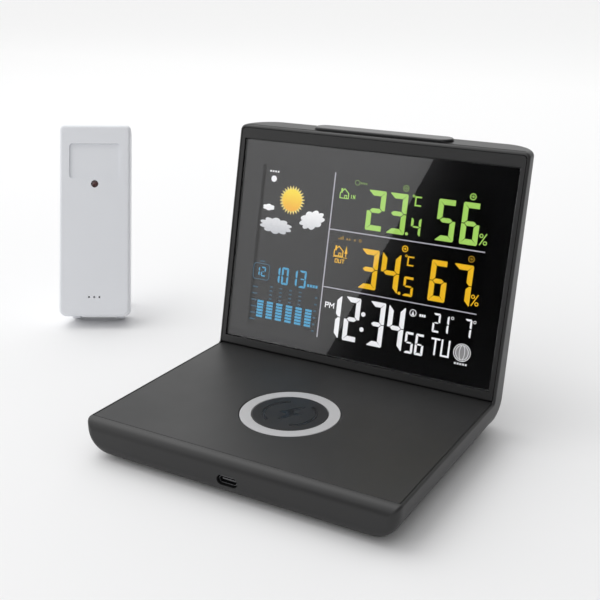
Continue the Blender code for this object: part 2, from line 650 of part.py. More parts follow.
def make_sensor_front(body):
    case = part("sensor_front_case", case_blank((0, SPLIT_Y - 0.15 * MM), True), "white_plastic", body)
    inner = SENSOR_HALF - SENSOR_WALL
    low, high = SENSOR_WALL, SENSOR_HEIGHT - SENSOR_WALL
    cut(case, tapered(box((-inner, inner), (SENSOR_WALL, 14 * MM), (low, high))))
    deep = (-2 * MM, 0.9 * MM)
    cut(case, rounded_box((-15.4 * MM, 15.4 * MM), deep, (82.9 * MM, 103.85 * MM), 2.1 * MM, "y", 3))
    through = (-1 * MM, 3 * MM)
    cut(case, rod("y", (0, LED_Z), through, 2.2 * MM, ROUND_SIDES))
    for x in (-3.14, 0, 3.14):
        cut(case, rod("y", (x * MM, 11.7 * MM), through, 0.6 * MM, TINY_SIDES))
    for at in SENSOR_SCREWS:
        add(case, rod("y", at, (1.2 * MM, 11.6 * MM), 2.6 * MM))
        cut(case, rod("y", at, (3.5 * MM, 13 * MM), 1.3 * MM, TINY_SIDES))


def make_sensor_back(body):
    blank = case_blank((SPLIT_Y + 0.15 * MM, SENSOR_DEPTH), False)
    case = part("sensor_back_case", blank, "white_plastic", body)
    inner = SENSOR_HALF - SENSOR_WALL
    low, high = SENSOR_WALL, SENSOR_HEIGHT - SENSOR_WALL
    cut(case, tapered(box((-inner, inner), (10 * MM, SENSOR_DEPTH - SENSOR_WALL), (low, high))))
    bay = DOOR_HALF + GAP
    add(case, box((-bay - 1.4 * MM, bay + 1.4 * MM), (7.8 * MM, 20.6 * MM), (4.5 * MM, 73.6 * MM)))
    cut(case, box((-bay, bay), (9 * MM, 24 * MM), (DOOR_LOW - GAP, DOOR_HIGH + GAP)))
    floor = (7 * MM, 9.5 * MM)
    cut(case, box((-10.9 * MM, -4.1 * MM), floor, (CONTROL_Z - 1.7 * MM, CONTROL_Z + 1.7 * MM)))
    cut(case, rod("y", (8 * MM, CONTROL_Z), floor, 1.8 * MM))
    for at in SENSOR_SCREWS:
        add(case, rod("y", at, (12.3 * MM, 20.6 * MM), 3 * MM))
        cut(case, rod("y", at, (19.4 * MM, 23 * MM), 2.4 * MM))
        cut(case, rod("y", at, (11 * MM, 20 * MM), 1.3 * MM, TINY_SIDES))
    hook_span = (19 * MM, 23 * MM)
    cut(case, rod("y", (0, 98 * MM), hook_span, 3.2 * MM))
    cut(case, rounded_box((-1.6 * MM, 1.6 * MM), hook_span, (98 * MM, 105 * MM), 1.55 * MM, "y", 2))
    add_stand_hinges(case)


def add_stand_hinges(case):
    """The nubs that the sensor stands on, and the lugs and studs that its stand turns on."""
    for side in (-1, 1):
        nub = sorted((side * 11.2 * MM, side * 15.6 * MM))
        add(case, box(nub, (13 * MM, NUB_BACK), (-NUB_DROP, 1 * MM)))
        lug = sorted((side * (LEG_OUTER + 0.4 * MM), side * (LEG_OUTER + 2.4 * MM)))
        add(case, box(lug, (21 * MM, HINGE_Y + 2.2 * MM), (HINGE_Z - 2.2 * MM, HINGE_Z + 2.2 * MM)))
        stud = sorted((side * (LEG_INNER + 0.2 * MM), side * (LEG_OUTER + 1 * MM)))
        add(case, rod("x", (HINGE_Y, HINGE_Z), stud, 1 * MM))


def make_sensor_door(body):
    bm = box((-DOOR_HALF, DOOR_HALF), (20.3 * MM, SENSOR_DEPTH), (DOOR_LOW, DOOR_HIGH))
    round_edges(bm, edges_along(bm, "y"), 0.8 * MM, 2)
    door = part("sensor_battery_door", bm, "white_plastic", body)
    for i in range(3):
        z = (62 + 2.2 * i) * MM
        cut(door, box((-5 * MM, 5 * MM), (21.5 * MM, 23 * MM), (z, z + 1.1 * MM)))


def make_sensor_power(body):
    """Two cells, head to tail, their springs and the plate that joins them."""
    for i, (side, head_up) in enumerate(((-1, True), (1, False))):
        can = [(0, 44.5), (1.9, 44.5), (1.9, 43.7), (5.25, 43.7), (5.25, 0), (0, 0)]
        if not head_up:
            can = [(r, 44.5 - h) for r, h in reversed(can)]
        turned(f"sensor_cell_{i + 1}", can, "cell_label", body, (side * CELL_X, CELL_Y, 9.8 * MM))
        helix = coil_points((side * CELL_X, CELL_Y), 2.6 * MM, 6.6 * MM, 8.9 * MM, 2, 8)
        wire(f"contact_spring_{i + 1}", helix, 0.35 * MM, "steel", body, resolution=0)
    plate = box((-10.5 * MM, 10.5 * MM), (10.6 * MM, 18.6 * MM), (54.7 * MM, 55.2 * MM))
    part("contact_plate", plate, "steel", body)


def make_sensor_electronics(body):
    bm = box((-17 * MM, 17 * MM), (4.6 * MM, 6 * MM), (8 * MM, 97 * MM))
    board = part("sensor_board", bm, "board", body)
    add(board, box((-5 * MM, 5 * MM), (3.2 * MM, 4.8 * MM), (42 * MM, 52 * MM)))
    lens = [(0, 4.2), (1.9, 4.2), (1.9, 0.6), (1.3, 0.25), (0, 0.1)]
    turned("sensor_led_lens", lens, "led_lens", body, (0, 0, LED_Z), "y", sides=SMALL_SIDES)
    probe = box((-2.5 * MM, 2.5 * MM), (2.8 * MM, 4.3 * MM), (9.4 * MM, 14.4 * MM))
    part("humidity_probe", probe, "light_guide", body)
    antenna = [(10, 8.4, 78), (10, 13, 80), (10, 14, 104)]
    wire("sensor_antenna", [Vector(p) * MM for p in antenna], 0.4 * MM, "copper", body)


def make_sensor_controls(body):
    knob_z = (CONTROL_Z - 1.4 * MM, CONTROL_Z + 1.4 * MM)
    bm = box((-10.6 * MM, -8.6 * MM), (7 * MM, 10.6 * MM), knob_z)
    knob = part("channel_knob", bm, "inner_plastic", body)
    add(knob, box((-12 * MM, -7.2 * MM), (6.4 * MM, 7.4 * MM), (CONTROL_Z - 2.4 * MM, CONTROL_Z + 2.4 * MM)))
    key = [(0, 10.4), (1.5, 10.4), (1.5, 7.5), (2.4, 7.5), (2.4, 6.9), (0, 6.9)]
    turned("reset_key", key, "inner_plastic", body, (8 * MM, 0, CONTROL_Z), "y", sides=SMALL_SIDES)


def make_sensor_screws(body):
    for i, (x, z) in enumerate(SENSOR_SCREWS):
        profile = [(0, 21.4), (2.1, 21.4), (2.1, 19.8), (1, 19.8), (1, 4.2), (0, 4.2)]
        screw = turned(f"sensor_screw_{i + 1}", profile, "steel", body, (x, 0, z), "y", sides=SMALL_SIDES)
        cut(screw, *cross_recess((x, z), (20.6 * MM, 22 * MM), True))


def make_stand(body):
    """A U of two legs and a foot bar, which turns on the back case's studs."""
    hinge = new_frame("stand_hinge", (0, HINGE_Y, HINGE_Z), (STAND_ANGLE, 0, 0), body)
    t = STAND_HALF_THICKNESS
    foot = box((-LEG_OUTER, LEG_OUTER), (-t, t), (-STAND_LENGTH, -STAND_LENGTH + 4.5 * MM))
    low = edges_along(foot, "x", lambda m: m.z < -STAND_LENGTH + 1 * MM)
    round_edges(foot, low, t - 0.02 * MM, 4)
    stand = part("sensor_stand", foot, "white_plastic", hinge)
    for side in (-1, 1):
        leg = sorted((side * LEG_INNER, side * LEG_OUTER))
        add(stand, box(leg, (-t, t), (-STAND_LENGTH + 3 * MM, 0)), rod("x", (0, 0), leg, 2.2 * MM))
        bore = sorted((side * (LEG_INNER - 1 * MM), side * (LEG_OUTER + 1 * MM)))
        cut(stand, rod("x", (0, 0), bore, 1.3 * MM))


# ---------------------------------------------------------------- the set

def main():
    clear_scene()
    console = new_frame("console", (*CONSOLE_PLACE, 0))
    display = new_frame("display", (0, DISPLAY_Y, BASE_TOP), (-LEAN, 0, 0), console)
    sensor = new_frame("sensor", (*SENSOR_PLACE, 0), (0, 0, SENSOR_TURN))
    body = new_frame("sensor_body", (0, 0, SENSOR_LIFT), (-SENSOR_LEAN, 0, 0), sensor)

    make_housing(console, display)
    make_base_panel(console)
    make_charging_pad(console)
    make_charger(console)
    make_harness(console)
    make_snooze_bar(console)
    make_feet(console)
    make_console_screws(console, display)
    make_display_front(display)
    make_display_stack(display)
    make_display_fittings(display)

    make_sensor_front(body)
    make_sensor_back(body)
    make_sensor_door(body)
    make_sensor_power(body)
    make_sensor_electronics(body)
    make_sensor_controls(body)
    make_sensor_screws(body)
    make_stand(body)
    bpy.context.view_layer.update()


main()
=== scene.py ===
"""Looks of the home weather station: its fine shells, glass, lit display, sensor and materials.

Shapes are modelled in millimetres in three frames, as in the design: "console" has X to the right, Y to the
back and Z up; "display" has X to the right, Y into the display and Z up its slope; "sensor" has X across the
sensor, Y from its front to its back and Z up its length.
"""

import json
from math import acos, atan2, cos, pi, radians, sin, sqrt, tan

import bmesh
import bpy
from mathutils import Matrix, Vector


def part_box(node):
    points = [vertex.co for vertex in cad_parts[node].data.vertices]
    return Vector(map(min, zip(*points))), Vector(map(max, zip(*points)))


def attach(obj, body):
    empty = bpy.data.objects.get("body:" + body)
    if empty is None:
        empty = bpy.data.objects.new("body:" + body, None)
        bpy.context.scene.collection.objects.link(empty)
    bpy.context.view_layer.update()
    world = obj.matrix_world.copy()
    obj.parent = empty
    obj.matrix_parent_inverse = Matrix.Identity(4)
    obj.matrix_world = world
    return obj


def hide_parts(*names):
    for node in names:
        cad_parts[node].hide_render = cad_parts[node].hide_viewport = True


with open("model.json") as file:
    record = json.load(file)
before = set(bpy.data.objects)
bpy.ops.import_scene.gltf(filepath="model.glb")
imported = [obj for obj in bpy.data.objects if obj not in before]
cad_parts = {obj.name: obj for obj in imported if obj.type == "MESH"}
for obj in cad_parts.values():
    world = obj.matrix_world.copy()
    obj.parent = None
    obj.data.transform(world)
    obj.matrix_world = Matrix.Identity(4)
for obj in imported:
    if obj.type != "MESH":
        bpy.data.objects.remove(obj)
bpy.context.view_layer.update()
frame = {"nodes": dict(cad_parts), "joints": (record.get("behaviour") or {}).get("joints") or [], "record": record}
MM = 0.001

# The L body, in millimetres
HALF = 76.5
BASE_BOTTOM, BASE_TOP, TOP = 1.2, 18.0, 130.2
NOSE_Y, DISPLAY_Y, THICKNESS = -5.0, 102.0, 18.0
RIM_ROUND, HEEL, CROOK = 1.2, 16.0, 2.0
BASE_SKIN, HEEL_SKIN, TOP_SKIN, SIDE_DRAFT = 12.5, 8.0, 14.0, 0.006
NOSE_TOP, NOSE_BOTTOM, NOSE_CORNER = 5.0, 6.0, 5.0
TOP_BACK, TOP_CORNER = 3.0, 3.0
WALL, LEDGE, RIM, GAP, PANEL = 2.2, 1.8, 1.25, 0.3, 1.5
PAD_Y, RING_OUTER, RING_INNER = 46.3, 22.8, 17.5
PORT_Z = 8.3
BASE_SCREWS = [(x, y) for x in (-55, 55) for y in (12, 88)]
FEET = [(x, y) for x in (-54, 54) for y in (22, 98)]
BACK_SCREWS = [(-55, 108), (55, 108)]
BAR_Y, BAR_LENGTH, BAR_WIDTH, BAR_TOP = 134.7, 73.0, 10.0, 131.6
KEYS, KEY_S = [-35, -21, -7, 7, 21, 35], 88.0
GLASS_HALF, GLASS_LOW, GLASS_HIGH, GLASS_DEPTH = 72.65, 5.0, 107.8, 0.8
COIN_X, COIN_S, COIN_RADIUS = -30.0, 50.0, 12.5
INLET_X, INLET_S = 50.0, 12.0
VENTS = [37, 41, 45, 49, 53]

# The part of the window where the LCD shows: left, right, low and high
LCD_OPENING = ((-61.5, 61.8), (13, 96))

# The lit image, just behind the window: its offset on the display, and its depth
IMAGE_X, IMAGE_S, IMAGE_DEPTH, IMAGE_THICK = -0.9, -0.2, 2.42, 0.08

# The sensor, in millimetres
SENSOR_HALF, SENSOR_HEIGHT, SENSOR_DEPTH, SENSOR_WALL, SPLIT_Y = 21.5, 115.0, 22.0, 1.8, 12.0
SIDE_TAPER, LED_Z, CONTROL_Z = 0.14, 79.6, 64.5
DOOR_LOW, DOOR_HIGH, DOOR_HALF = 6.0, 72.1, 11.4
SENSOR_SCREWS = [(-13.5, 109), (13.5, 109)]
TOP_CORNERS, BOTTOM_CORNERS, RIM_EDGE, SEAM_EDGE = 2.8, 4.5, 2.0, 0.25
RECESS_HALF, RECESS_LOW, RECESS_HIGH, RECESS_DEPTH, RECESS_EDGE = 15.4, 82.9, 103.85, 1.2, 0.15
HINGE_Y, HINGE_Z = 24.6, 50.0
STAND_LENGTH, STAND_T, LEG_INNER, LEG_OUTER = 46.7, 1.2, 11.7, 13.6


# --- frames

def joint(name):
    return next(j for j in frame["joints"] if j["name"] == name)


def from_axes(x, y, at, local):
    """The frame with these two axes, in which the local point lies at the world point."""
    x, y = Vector(x).normalized(), Vector(y).normalized()
    turn = Matrix((x, y, x.cross(y))).transposed().to_4x4()
    return Matrix.Translation(at) @ turn @ Matrix.Translation(-Vector(local) * MM)


low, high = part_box("housing")
CONSOLE = Matrix.Translation(((low.x + high.x) / 2, low.y - NOSE_Y * MM, 0))
coin_turn = joint("coin_door_turn")
DISPLAY = from_axes((1, 0, 0), coin_turn["axis"], coin_turn["pos_m"], (COIN_X, 17, COIN_S))
fold = joint("stand_fold")
SENSOR = from_axes(fold["axis"], joint("battery_door_lift")["axis"], fold["pos_m"], (0, HINGE_Y, HINGE_Z))
LEAN = atan2(DISPLAY[1][2], DISPLAY[2][2])
SENSOR_LEAN = acos(SENSOR[2][2])
HINGE_HEIGHT = fold["pos_m"][2] / MM
STAND_ANGLE = SENSOR_LEAN + acos((HINGE_HEIGHT - STAND_T) / (STAND_LENGTH - STAND_T))


# --- shapes

def about(half, middle=0.0):
    """The span that reaches this far each way from its middle."""
    return middle - half, middle + half


def outward(side, near, far):
    """The span between two distances from the middle, on the right (1) or the left (-1)."""
    return sorted((side * near, side * far))


def box(x, y, z):
    bm = bmesh.new()
    bmesh.ops.create_cube(bm, size=1)
    for v in bm.verts:
        v.co = [lo + (c + 0.5) * (hi - lo) for c, (lo, hi) in zip(v.co, (x, y, z))]
    return bm


def edges_along(bm, axis, keep=lambda middle: True):
    found = []
    for edge in bm.edges:
        a, b = (v.co for v in edge.verts)
        if abs((a - b).normalized()["xyz".index(axis)]) > 0.99 and keep((a + b) / 2):
            found.append(edge)
    return found


def edges_where(bm, test):
    """The edges both of whose ends pass a test."""
    return [e for e in bm.edges if all(test(v.co) for v in e.verts)]


def round_edges(bm, edges, radius, segments=4):
    bmesh.ops.bevel(bm, geom=edges, offset=radius, segments=segments, profile=0.5, affect="EDGES")


def rounded_box(x, y, z, radius, along="z", segments=8):
    bm = box(x, y, z)
    round_edges(bm, edges_along(bm, along), radius, segments)
    return bm


def soft_box(x, y, z, corner, along, edge, segments=3):
    """A box with rounded corners along one axis, and all its other edges softened."""
    bm = rounded_box(x, y, z, corner, along)
    axis = "xyz".index(along)
    ends = (x, y, z)[axis]
    rims = [e for e in bm.edges if any(all(abs(v.co[axis] - end) < 1e-4 for v in e.verts) for end in ends)]
    round_edges(bm, rims, edge, segments)
    return bm


def rod(along, at, span, radius, sides=48):
    axis = "xyz".index(along)
    place = list(at)
    place.insert(axis, sum(span) / 2)
    turn = {"x": Matrix.Rotation(pi / 2, 4, "Y"), "y": Matrix.Rotation(pi / 2, 4, "X")}
    matrix = Matrix.Translation(place) @ turn.get(along, Matrix.Identity(4))
    size = {"radius1": radius, "radius2": radius, "depth": span[1] - span[0]}
    bm = bmesh.new()
    bmesh.ops.create_cone(bm, cap_ends=True, segments=sides, matrix=matrix, **size)
    return bm


def arc(x, y, radius, start, end, steps=5):
    """Points on an arc, from one angle to another, in degrees."""
    angles = [radians(start + (end - start) * k / steps) for k in range(steps + 1)]
    return [(x + radius * cos(a), y + radius * sin(a)) for a in angles]


def turned(profile, at=(0, 0, 0), along="z", closed=False, steps=64):
    """A turned shape from (radius, height) points, from its top down its outer side to its bottom."""
    bm = bmesh.new()
    rings = []
    for radius, height in profile:
        if radius < 1e-6:
            rings.append([bm.verts.new((0, 0, height))] * steps)
            continue
        turns = [2 * pi * k / steps for k in range(steps)]
        rings.append([bm.verts.new((radius * cos(a), radius * sin(a), height)) for a in turns])
    pairs = list(zip(rings, rings[1:]))
    if closed:
        pairs.append((rings[-1], rings[0]))
    for upper, lower in pairs:
        for k in range(steps):
            corners = (upper[k], lower[k], lower[(k + 1) % steps], upper[(k + 1) % steps])
            bm.faces.new(list(dict.fromkeys(corners)))
    turn = {"x": Matrix.Rotation(pi / 2, 4, "Y"), "y": Matrix.Rotation(-pi / 2, 4, "X")}
    place = Matrix.Translation(at) @ turn.get(along, Matrix.Identity(4))
    bmesh.ops.transform(bm, matrix=place, verts=bm.verts)
    return bm


def prism(outline, span, flat="xy"):
    """A flat outline, extruded along the third axis."""
    a, b = ("xyz".index(c) for c in flat)
    third = 3 - a - b
    bm = bmesh.new()
    verts = []
    for u, v in outline:
        place = [span[0]] * 3
        place[a], place[b] = u, v
        verts.append(bm.verts.new(place))
    raised = bmesh.ops.extrude_face_region(bm, geom=[bm.faces.new(verts)])["geom"]
    step = [0, 0, 0]
    step[third] = span[1] - span[0]
    bmesh.ops.translate(bm, verts=[v for v in raised if isinstance(v, bmesh.types.BMVert)], vec=step)
    return bm


def prisms(outlines, span, flat="xy"):
    return together(*[prism(outline, span, flat) for outline in outlines])


def together(*shapes):
    """Several shapes as one mesh of separate bodies."""
    whole = bmesh.new()
    for shape in shapes:
        mesh = mesh_of(shape)
        whole.from_mesh(mesh)
        bpy.data.meshes.remove(mesh)
    return whole


def rods(along, places, span, radius, sides):
    """The same rod at several places, as one mesh."""
    return together(*[rod(along, at, span, radius, sides) for at in places])


def mesh_of(bm, name="shape"):
    bmesh.ops.recalc_face_normals(bm, faces=bm.faces)
    mesh = bpy.data.meshes.new(name)
    bm.to_mesh(mesh)
    bm.free()
    return mesh


def placed(name, data):
    """A new object with this data, in the scene."""
    obj = bpy.data.objects.new(name, data)
    bpy.context.scene.collection.objects.link(obj)
    return obj


def finished(name, bm, look):
    """A shape in metres as an object in the scene, with its material."""
    mesh = mesh_of(bm, name)
    mesh.materials.append(look)
    return placed(name, mesh)


def modified(bm, *steps):
    """A shape after modifiers, each given as (type, settings)."""
    obj = placed("target", mesh_of(bm))
    spent = [obj]
    for kind, settings in steps:
        modifier = obj.modifiers.new(kind.lower(), kind)
        for key, value in settings.items():
            if key == "object":
                value = placed("tool", mesh_of(value))
                spent.append(value)
            setattr(modifier, key, value)
    bpy.context.view_layer.update()
    evaluated = obj.evaluated_get(bpy.context.evaluated_depsgraph_get())
    mesh = bpy.data.meshes.new_from_object(evaluated)
    result = bmesh.new()
    result.from_mesh(mesh)
    for used in spent:
        bpy.data.objects.remove(used, do_unlink=True)
    return result


def boolean(bm, operation, tools):
    settings = {"operation": operation, "solver": "EXACT"}
    return modified(bm, *[("BOOLEAN", {**settings, "object": tool}) for tool in tools])


def cut(bm, *tools):
    return boolean(bm, "DIFFERENCE", tools)


def add(bm, *tools):
    return boolean(bm, "UNION", tools)


def soften(bm, width, segments=3, angle=50):
    """Rounds every edge sharper than the angle."""
    settings = {"width": width, "segments": segments, "limit_method": "ANGLE"}
    settings |= {"angle_limit": radians(angle), "use_clamp_overlap": True, "harden_normals": False}
    return modified(bm, ("BEVEL", settings))


def piece(name, bm, place, body, slot, instead_of=(), look=None, sharp=38):
    """A finished piece from a shape in millimetres in its frame, riding on a body, in its slot's look."""
    bmesh.ops.transform(bm, matrix=place @ Matrix.Scale(MM, 4), verts=bm.verts)
    obj = finished(name, bm, look or SLOT_LOOKS[slot])
    obj.data.shade_smooth()
    obj.data.set_sharp_from_angle(angle=radians(sharp))
    normals = obj.modifiers.new("normals", "WEIGHTED_NORMAL")
    normals.keep_sharp = True
    normals.weight = 80
    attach(obj, body)
    if instead_of:
        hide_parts(*instead_of)
    return obj


# --- materials

class Nodes:
    """A small helper round the node tree of one material, or of the world."""

    def __init__(self, name, world=False):
        self.owner = (bpy.data.worlds if world else bpy.data.materials).new(name)
        self.owner.use_nodes = True
        self.tree = self.owner.node_tree
        self.shader = self.tree.nodes["Background" if world else "Principled BSDF"]
        self.place = self.new("ShaderNodeTexCoord").outputs["Generated" if world else "Object"]

    def new(self, kind, **values):
        node = self.tree.nodes.new(kind)
        for key, value in values.items():
            if key in node.inputs:
                node.inputs[key].default_value = value
            else:
                setattr(node, key, value)
        return node

    def link(self, source, target):
        self.tree.links.new(source, target)

    def set(self, **values):
        for key, value in values.items():
            self.shader.inputs[key.replace("_", " ")].default_value = value

    def along(self, axis):
        """The place along one axis."""
        split = self.new("ShaderNodeSeparateXYZ")
        self.link(self.place, split.inputs[0])
        return split.outputs[axis]

    def noise(self, scale, detail=2.0, rough=0.5, stretch=(1, 1, 1)):
        """Noise with this many cells a metre."""
        spread = self.new("ShaderNodeMapping")
        spread.inputs["Scale"].default_value = stretch
        self.link(self.place, spread.inputs["Vector"])
        node = self.new("ShaderNodeTexNoise", Scale=scale, Detail=detail, Roughness=rough)
        self.link(spread.outputs[0], node.inputs["Vector"])
        return node.outputs[0]

    def between(self, source, low, high, start=0.3, end=0.7):
        """Maps a value to a range of values."""
        node = self.new("ShaderNodeMapRange")
        for key, value in (("From Min", start), ("From Max", end), ("To Min", low), ("To Max", high)):
            node.inputs[key].default_value = value
        self.link(source, node.inputs["Value"])
        return node.outputs[0]

    def blend(self, factor, first, second):
        """Mixes two colours by a value; each may come from another node."""
        node = self.new("ShaderNodeMix", data_type="RGBA")
        self.link(factor, node.inputs["Factor"])
        for key, colour in (("A", first), ("B", second)):
            if isinstance(colour, tuple):
                node.inputs[key].default_value = (*colour, 1)
            else:
                self.link(colour, node.inputs[key])
        return node.outputs["Result"]

    def paint(self, factor, first, second):
        """Blends the base colour between two, by a value."""
        self.link(self.blend(factor, first, second), self.shader.inputs["Base Color"])

    def gloss(self, source, low, high, start=0.3, end=0.7):
        """Lets the roughness follow a value."""
        self.link(self.between(source, low, high, start, end), self.shader.inputs["Roughness"])

    def bump(self, source, height):
        """Relief of this height, in millimetres, on top of any relief made before."""
        node = self.new("ShaderNodeBump", Strength=1.0, Distance=height * MM)
        self.link(source, node.inputs["Height"])
        before = self.shader.inputs["Normal"]
        if before.is_linked:
            self.link(before.links[0].from_socket, node.inputs["Normal"])
        self.link(node.outputs[0], before)


def scaled(colour, factor):
    return tuple(c * factor for c in colour)


def plastic(name, colour, roughness, grain=0.012, cells=2600, coat=0.0, mottle=0.08):
    """Moulded plastic: a fine spark-eroded grain, and slow changes in its gloss and colour."""
    n = Nodes(name)
    slow = n.noise(38, 3)
    n.paint(slow, scaled(colour, 1 - mottle), scaled(colour, 1 + mottle))
    n.gloss(slow, roughness * 0.93, roughness * 1.07)
    n.set(Coat_Weight=coat, Coat_Roughness=0.15)
    n.bump(n.noise(cells, 3, 0.6), grain)
    return n.owner


def metal(name, colour, roughness):
    """Drawn or stamped metal: fine lines and a slightly uneven gloss."""
    n = Nodes(name)
    n.set(Metallic=1.0)
    lines = n.noise(400, 4, 0.6, (1, 1, 30))
    n.paint(lines, scaled(colour, 0.85), scaled(colour, 1.1))
    n.gloss(lines, roughness * 0.8, roughness * 1.25)
    n.bump(lines, 0.006)
    return n.owner


def coil_copper(name, centre):
    """Enamelled wire, wound flat round a centre: one ring for each turn."""
    n = Nodes(name)
    turns_a_metre, wave_per_ring = 1250, 0.314
    shift = n.new("ShaderNodeVectorMath", operation="SUBTRACT")
    shift.inputs[1].default_value = centre
    n.link(n.place, shift.inputs[0])
    scale = turns_a_metre * wave_per_ring
    rings = n.new("ShaderNodeTexWave", wave_type="RINGS", rings_direction="Z", Scale=scale)
    n.link(shift.outputs[0], rings.inputs["Vector"])
    n.paint(rings.outputs[1], (0.28, 0.09, 0.03), (0.80, 0.38, 0.17))
    n.set(Metallic=0.9, Roughness=0.28)
    n.bump(rings.outputs[1], 0.15)
    return n.owner


def circuit_board(name):
    """Green solder mask with lighter copper areas and raised tracks under it."""
    n = Nodes(name)
    tracks = n.new("ShaderNodeTexBrick", Scale=260.0)
    tracks.inputs["Mortar Size"].default_value = 0.04
    n.link(n.place, tracks.inputs["Vector"])
    n.paint(tracks.outputs["Fac"], (0.012, 0.10, 0.045), (0.03, 0.22, 0.09))
    n.set(Roughness=0.38, Coat_Weight=0.4)
    n.bump(tracks.outputs["Fac"], 0.03)
    return n.owner


def tinted_glass(name, tint, smudge):
    """Clear glass with a dark tint, and faint smudges in its gloss."""
    n = Nodes(name)
    n.set(Transmission_Weight=1.0, IOR=1.46)
    n.set(Base_Color=(*tint, 1))
    n.gloss(n.noise(70, 3), 0.0, smudge, 0.45, 0.75)
    return n.owner


def lit(name, first, second, strength, low, high):
    """A lit colour film: it turns from the first colour to the second between two heights, in metres."""
    n = Nodes(name)
    ramp = n.between(n.along(2), 0.0, 1.0, low, high)
    grain = n.new("ShaderNodeMath", operation="MULTIPLY_ADD")
    n.link(n.between(n.noise(900, 2), -0.06, 0.06), grain.inputs[0])
    grain.inputs[1].default_value = 1.0
    n.link(ramp, grain.inputs[2])
    colour = n.blend(grain.outputs[0], first, second)
    n.set(Base_Color=(0.01, 0.01, 0.01, 1), Roughness=0.4, Emission_Strength=strength)
    n.link(colour, n.shader.inputs["Emission Color"])
    return n.owner


def srgb(red, green, blue):
    """A linear colour from the usual 0 to 255 values."""
    values = [c / 255 for c in (red, green, blue)]
    return tuple(v / 12.92 if v <= 0.04045 else ((v + 0.055) / 1.055) ** 2.4 for v in values)


PANEL_BLACK = plastic("panel_look", (0.0140, 0.0140, 0.0143), 0.46, grain=0.012)
GLOSS_BLACK = plastic("gloss_mark_look", (0.010, 0.010, 0.011), 0.12, grain=0.001)
MASK_BLACK = plastic("lcd_surround_look", (0.006, 0.006, 0.0065), 0.14, grain=0.0005)
SOCKET_GREY = metal("socket_look", (0.13, 0.13, 0.135), 0.42)

SLOT_LOOKS = {
    "black_plastic": plastic("black_plastic_look", (0.0120, 0.0120, 0.0123), 0.42, grain=0.010),
    "black_satin": plastic("black_satin_look", (0.014, 0.014, 0.015), 0.30, grain=0.004),
    "window": tinted_glass("window_look", (0.93, 0.93, 0.94), 0.002),
    "lcd": plastic("lcd_face_look", (0.0012, 0.0012, 0.0014), 0.16, grain=0.0005),
    "light_guide": plastic("light_guide_look", (0.78, 0.80, 0.82), 0.35, grain=0.01, coat=0.4, mottle=0.03),
    "ring": plastic("ring_look", (0.50, 0.50, 0.51), 0.38, grain=0.006, coat=0.3, mottle=0.03),
    "white_plastic": plastic("white_plastic_look", (0.82, 0.835, 0.87), 0.42, grain=0.008, mottle=0.015),
    "inner_plastic": plastic("inner_plastic_look", (0.08, 0.08, 0.082), 0.55, grain=0.02, cells=900),
    "board": circuit_board("board_look"),
    "rubber": plastic("rubber_look", (0.022, 0.022, 0.022), 0.85, grain=0.05, cells=900),
    "steel": metal("steel_look", (0.62, 0.62, 0.63), 0.30),
    "copper": coil_copper("copper_look", CONSOLE @ Vector((0, PAD_Y * MM, 0))),
    "ferrite": plastic("ferrite_look", (0.045, 0.045, 0.047), 0.62, grain=0.04, cells=700, mottle=0.25),
    "cell_label": plastic("cell_label_look", (0.05, 0.11, 0.30), 0.30, grain=0.006, coat=0.6),
    "led_lens": plastic("led_lens_look", (0.055, 0.008, 0.007), 0.12, grain=0.002, coat=0.8),
}


def dress_nodes():
    """Every CAD node gets the finished material of its slot."""
    for row in frame["record"]["subparts"]:
        obj = frame["nodes"][row["node"]]
        obj.data.materials.clear()
        look = SOCKET_GREY if row["node"] == "usb_c_socket" else SLOT_LOOKS[row["material_slot"]]
        obj.data.materials.append(look)


# --- the L body

def quarter(steps):
    return [radians(90 * k / steps) for k in range(steps + 1)]


def edge_inset(radius, distance):
    """How far a rounded edge lies inside its face, at this distance from the end face."""
    if distance >= radius:
        return 0.0
    return radius - sqrt(radius**2 - (radius - distance) ** 2)


def drawn_in(depth):
    """The side walls' draft: how much narrower the L is at this depth behind its open face."""
    return 1 - SIDE_DRAFT * depth / THICKNESS


def section(inner, outer, half_width, inner_radius, outer_radius):
    """One closed loop across the L, in the plane through X and the line between two (y, z) points."""
    depth = (outer - inner).length
    away = (outer - inner) / depth
    r, big = inner_radius, outer_radius
    side = [(half_width - r * (1 - sin(a)), r * (1 - cos(a))) for a in quarter(5)]
    side += [(half_width - big * (1 - cos(a)), depth - big * (1 - sin(a))) for a in quarter(12)]
    loop = side + [(-x, v) for x, v in reversed(side)]
    return [(x * drawn_in(v), inner.x + v * away.x, inner.y + v * away.y) for x, v in loop]


def behind_display(height, depth):
    """The (y, z) point at a height, on the plane this deep behind the display's front."""
    start = Vector((DISPLAY_Y + depth * cos(LEAN), BASE_TOP - depth * sin(LEAN)))
    return start + Vector((tan(LEAN), 1)) * (height - start.y)


def nose_loops(wall, lid, half):
    top_r, bottom_r, corner_r = (max(r - wall, 0.3) for r in (NOSE_TOP, NOSE_BOTTOM, NOSE_CORNER))
    full = BASE_TOP - BASE_BOTTOM - wall - lid
    for a in quarter(9):
        distance = bottom_r * (1 - cos(a))
        y = NOSE_Y + wall + distance
        top = BASE_TOP - lid - edge_inset(top_r, distance)
        bottom = BASE_BOTTOM + wall + edge_inset(bottom_r, distance)
        share = (top - bottom) / full
        width = half - edge_inset(corner_r, distance)
        yield Vector((y, top)), Vector((y, bottom)), width, share, BASE_SKIN


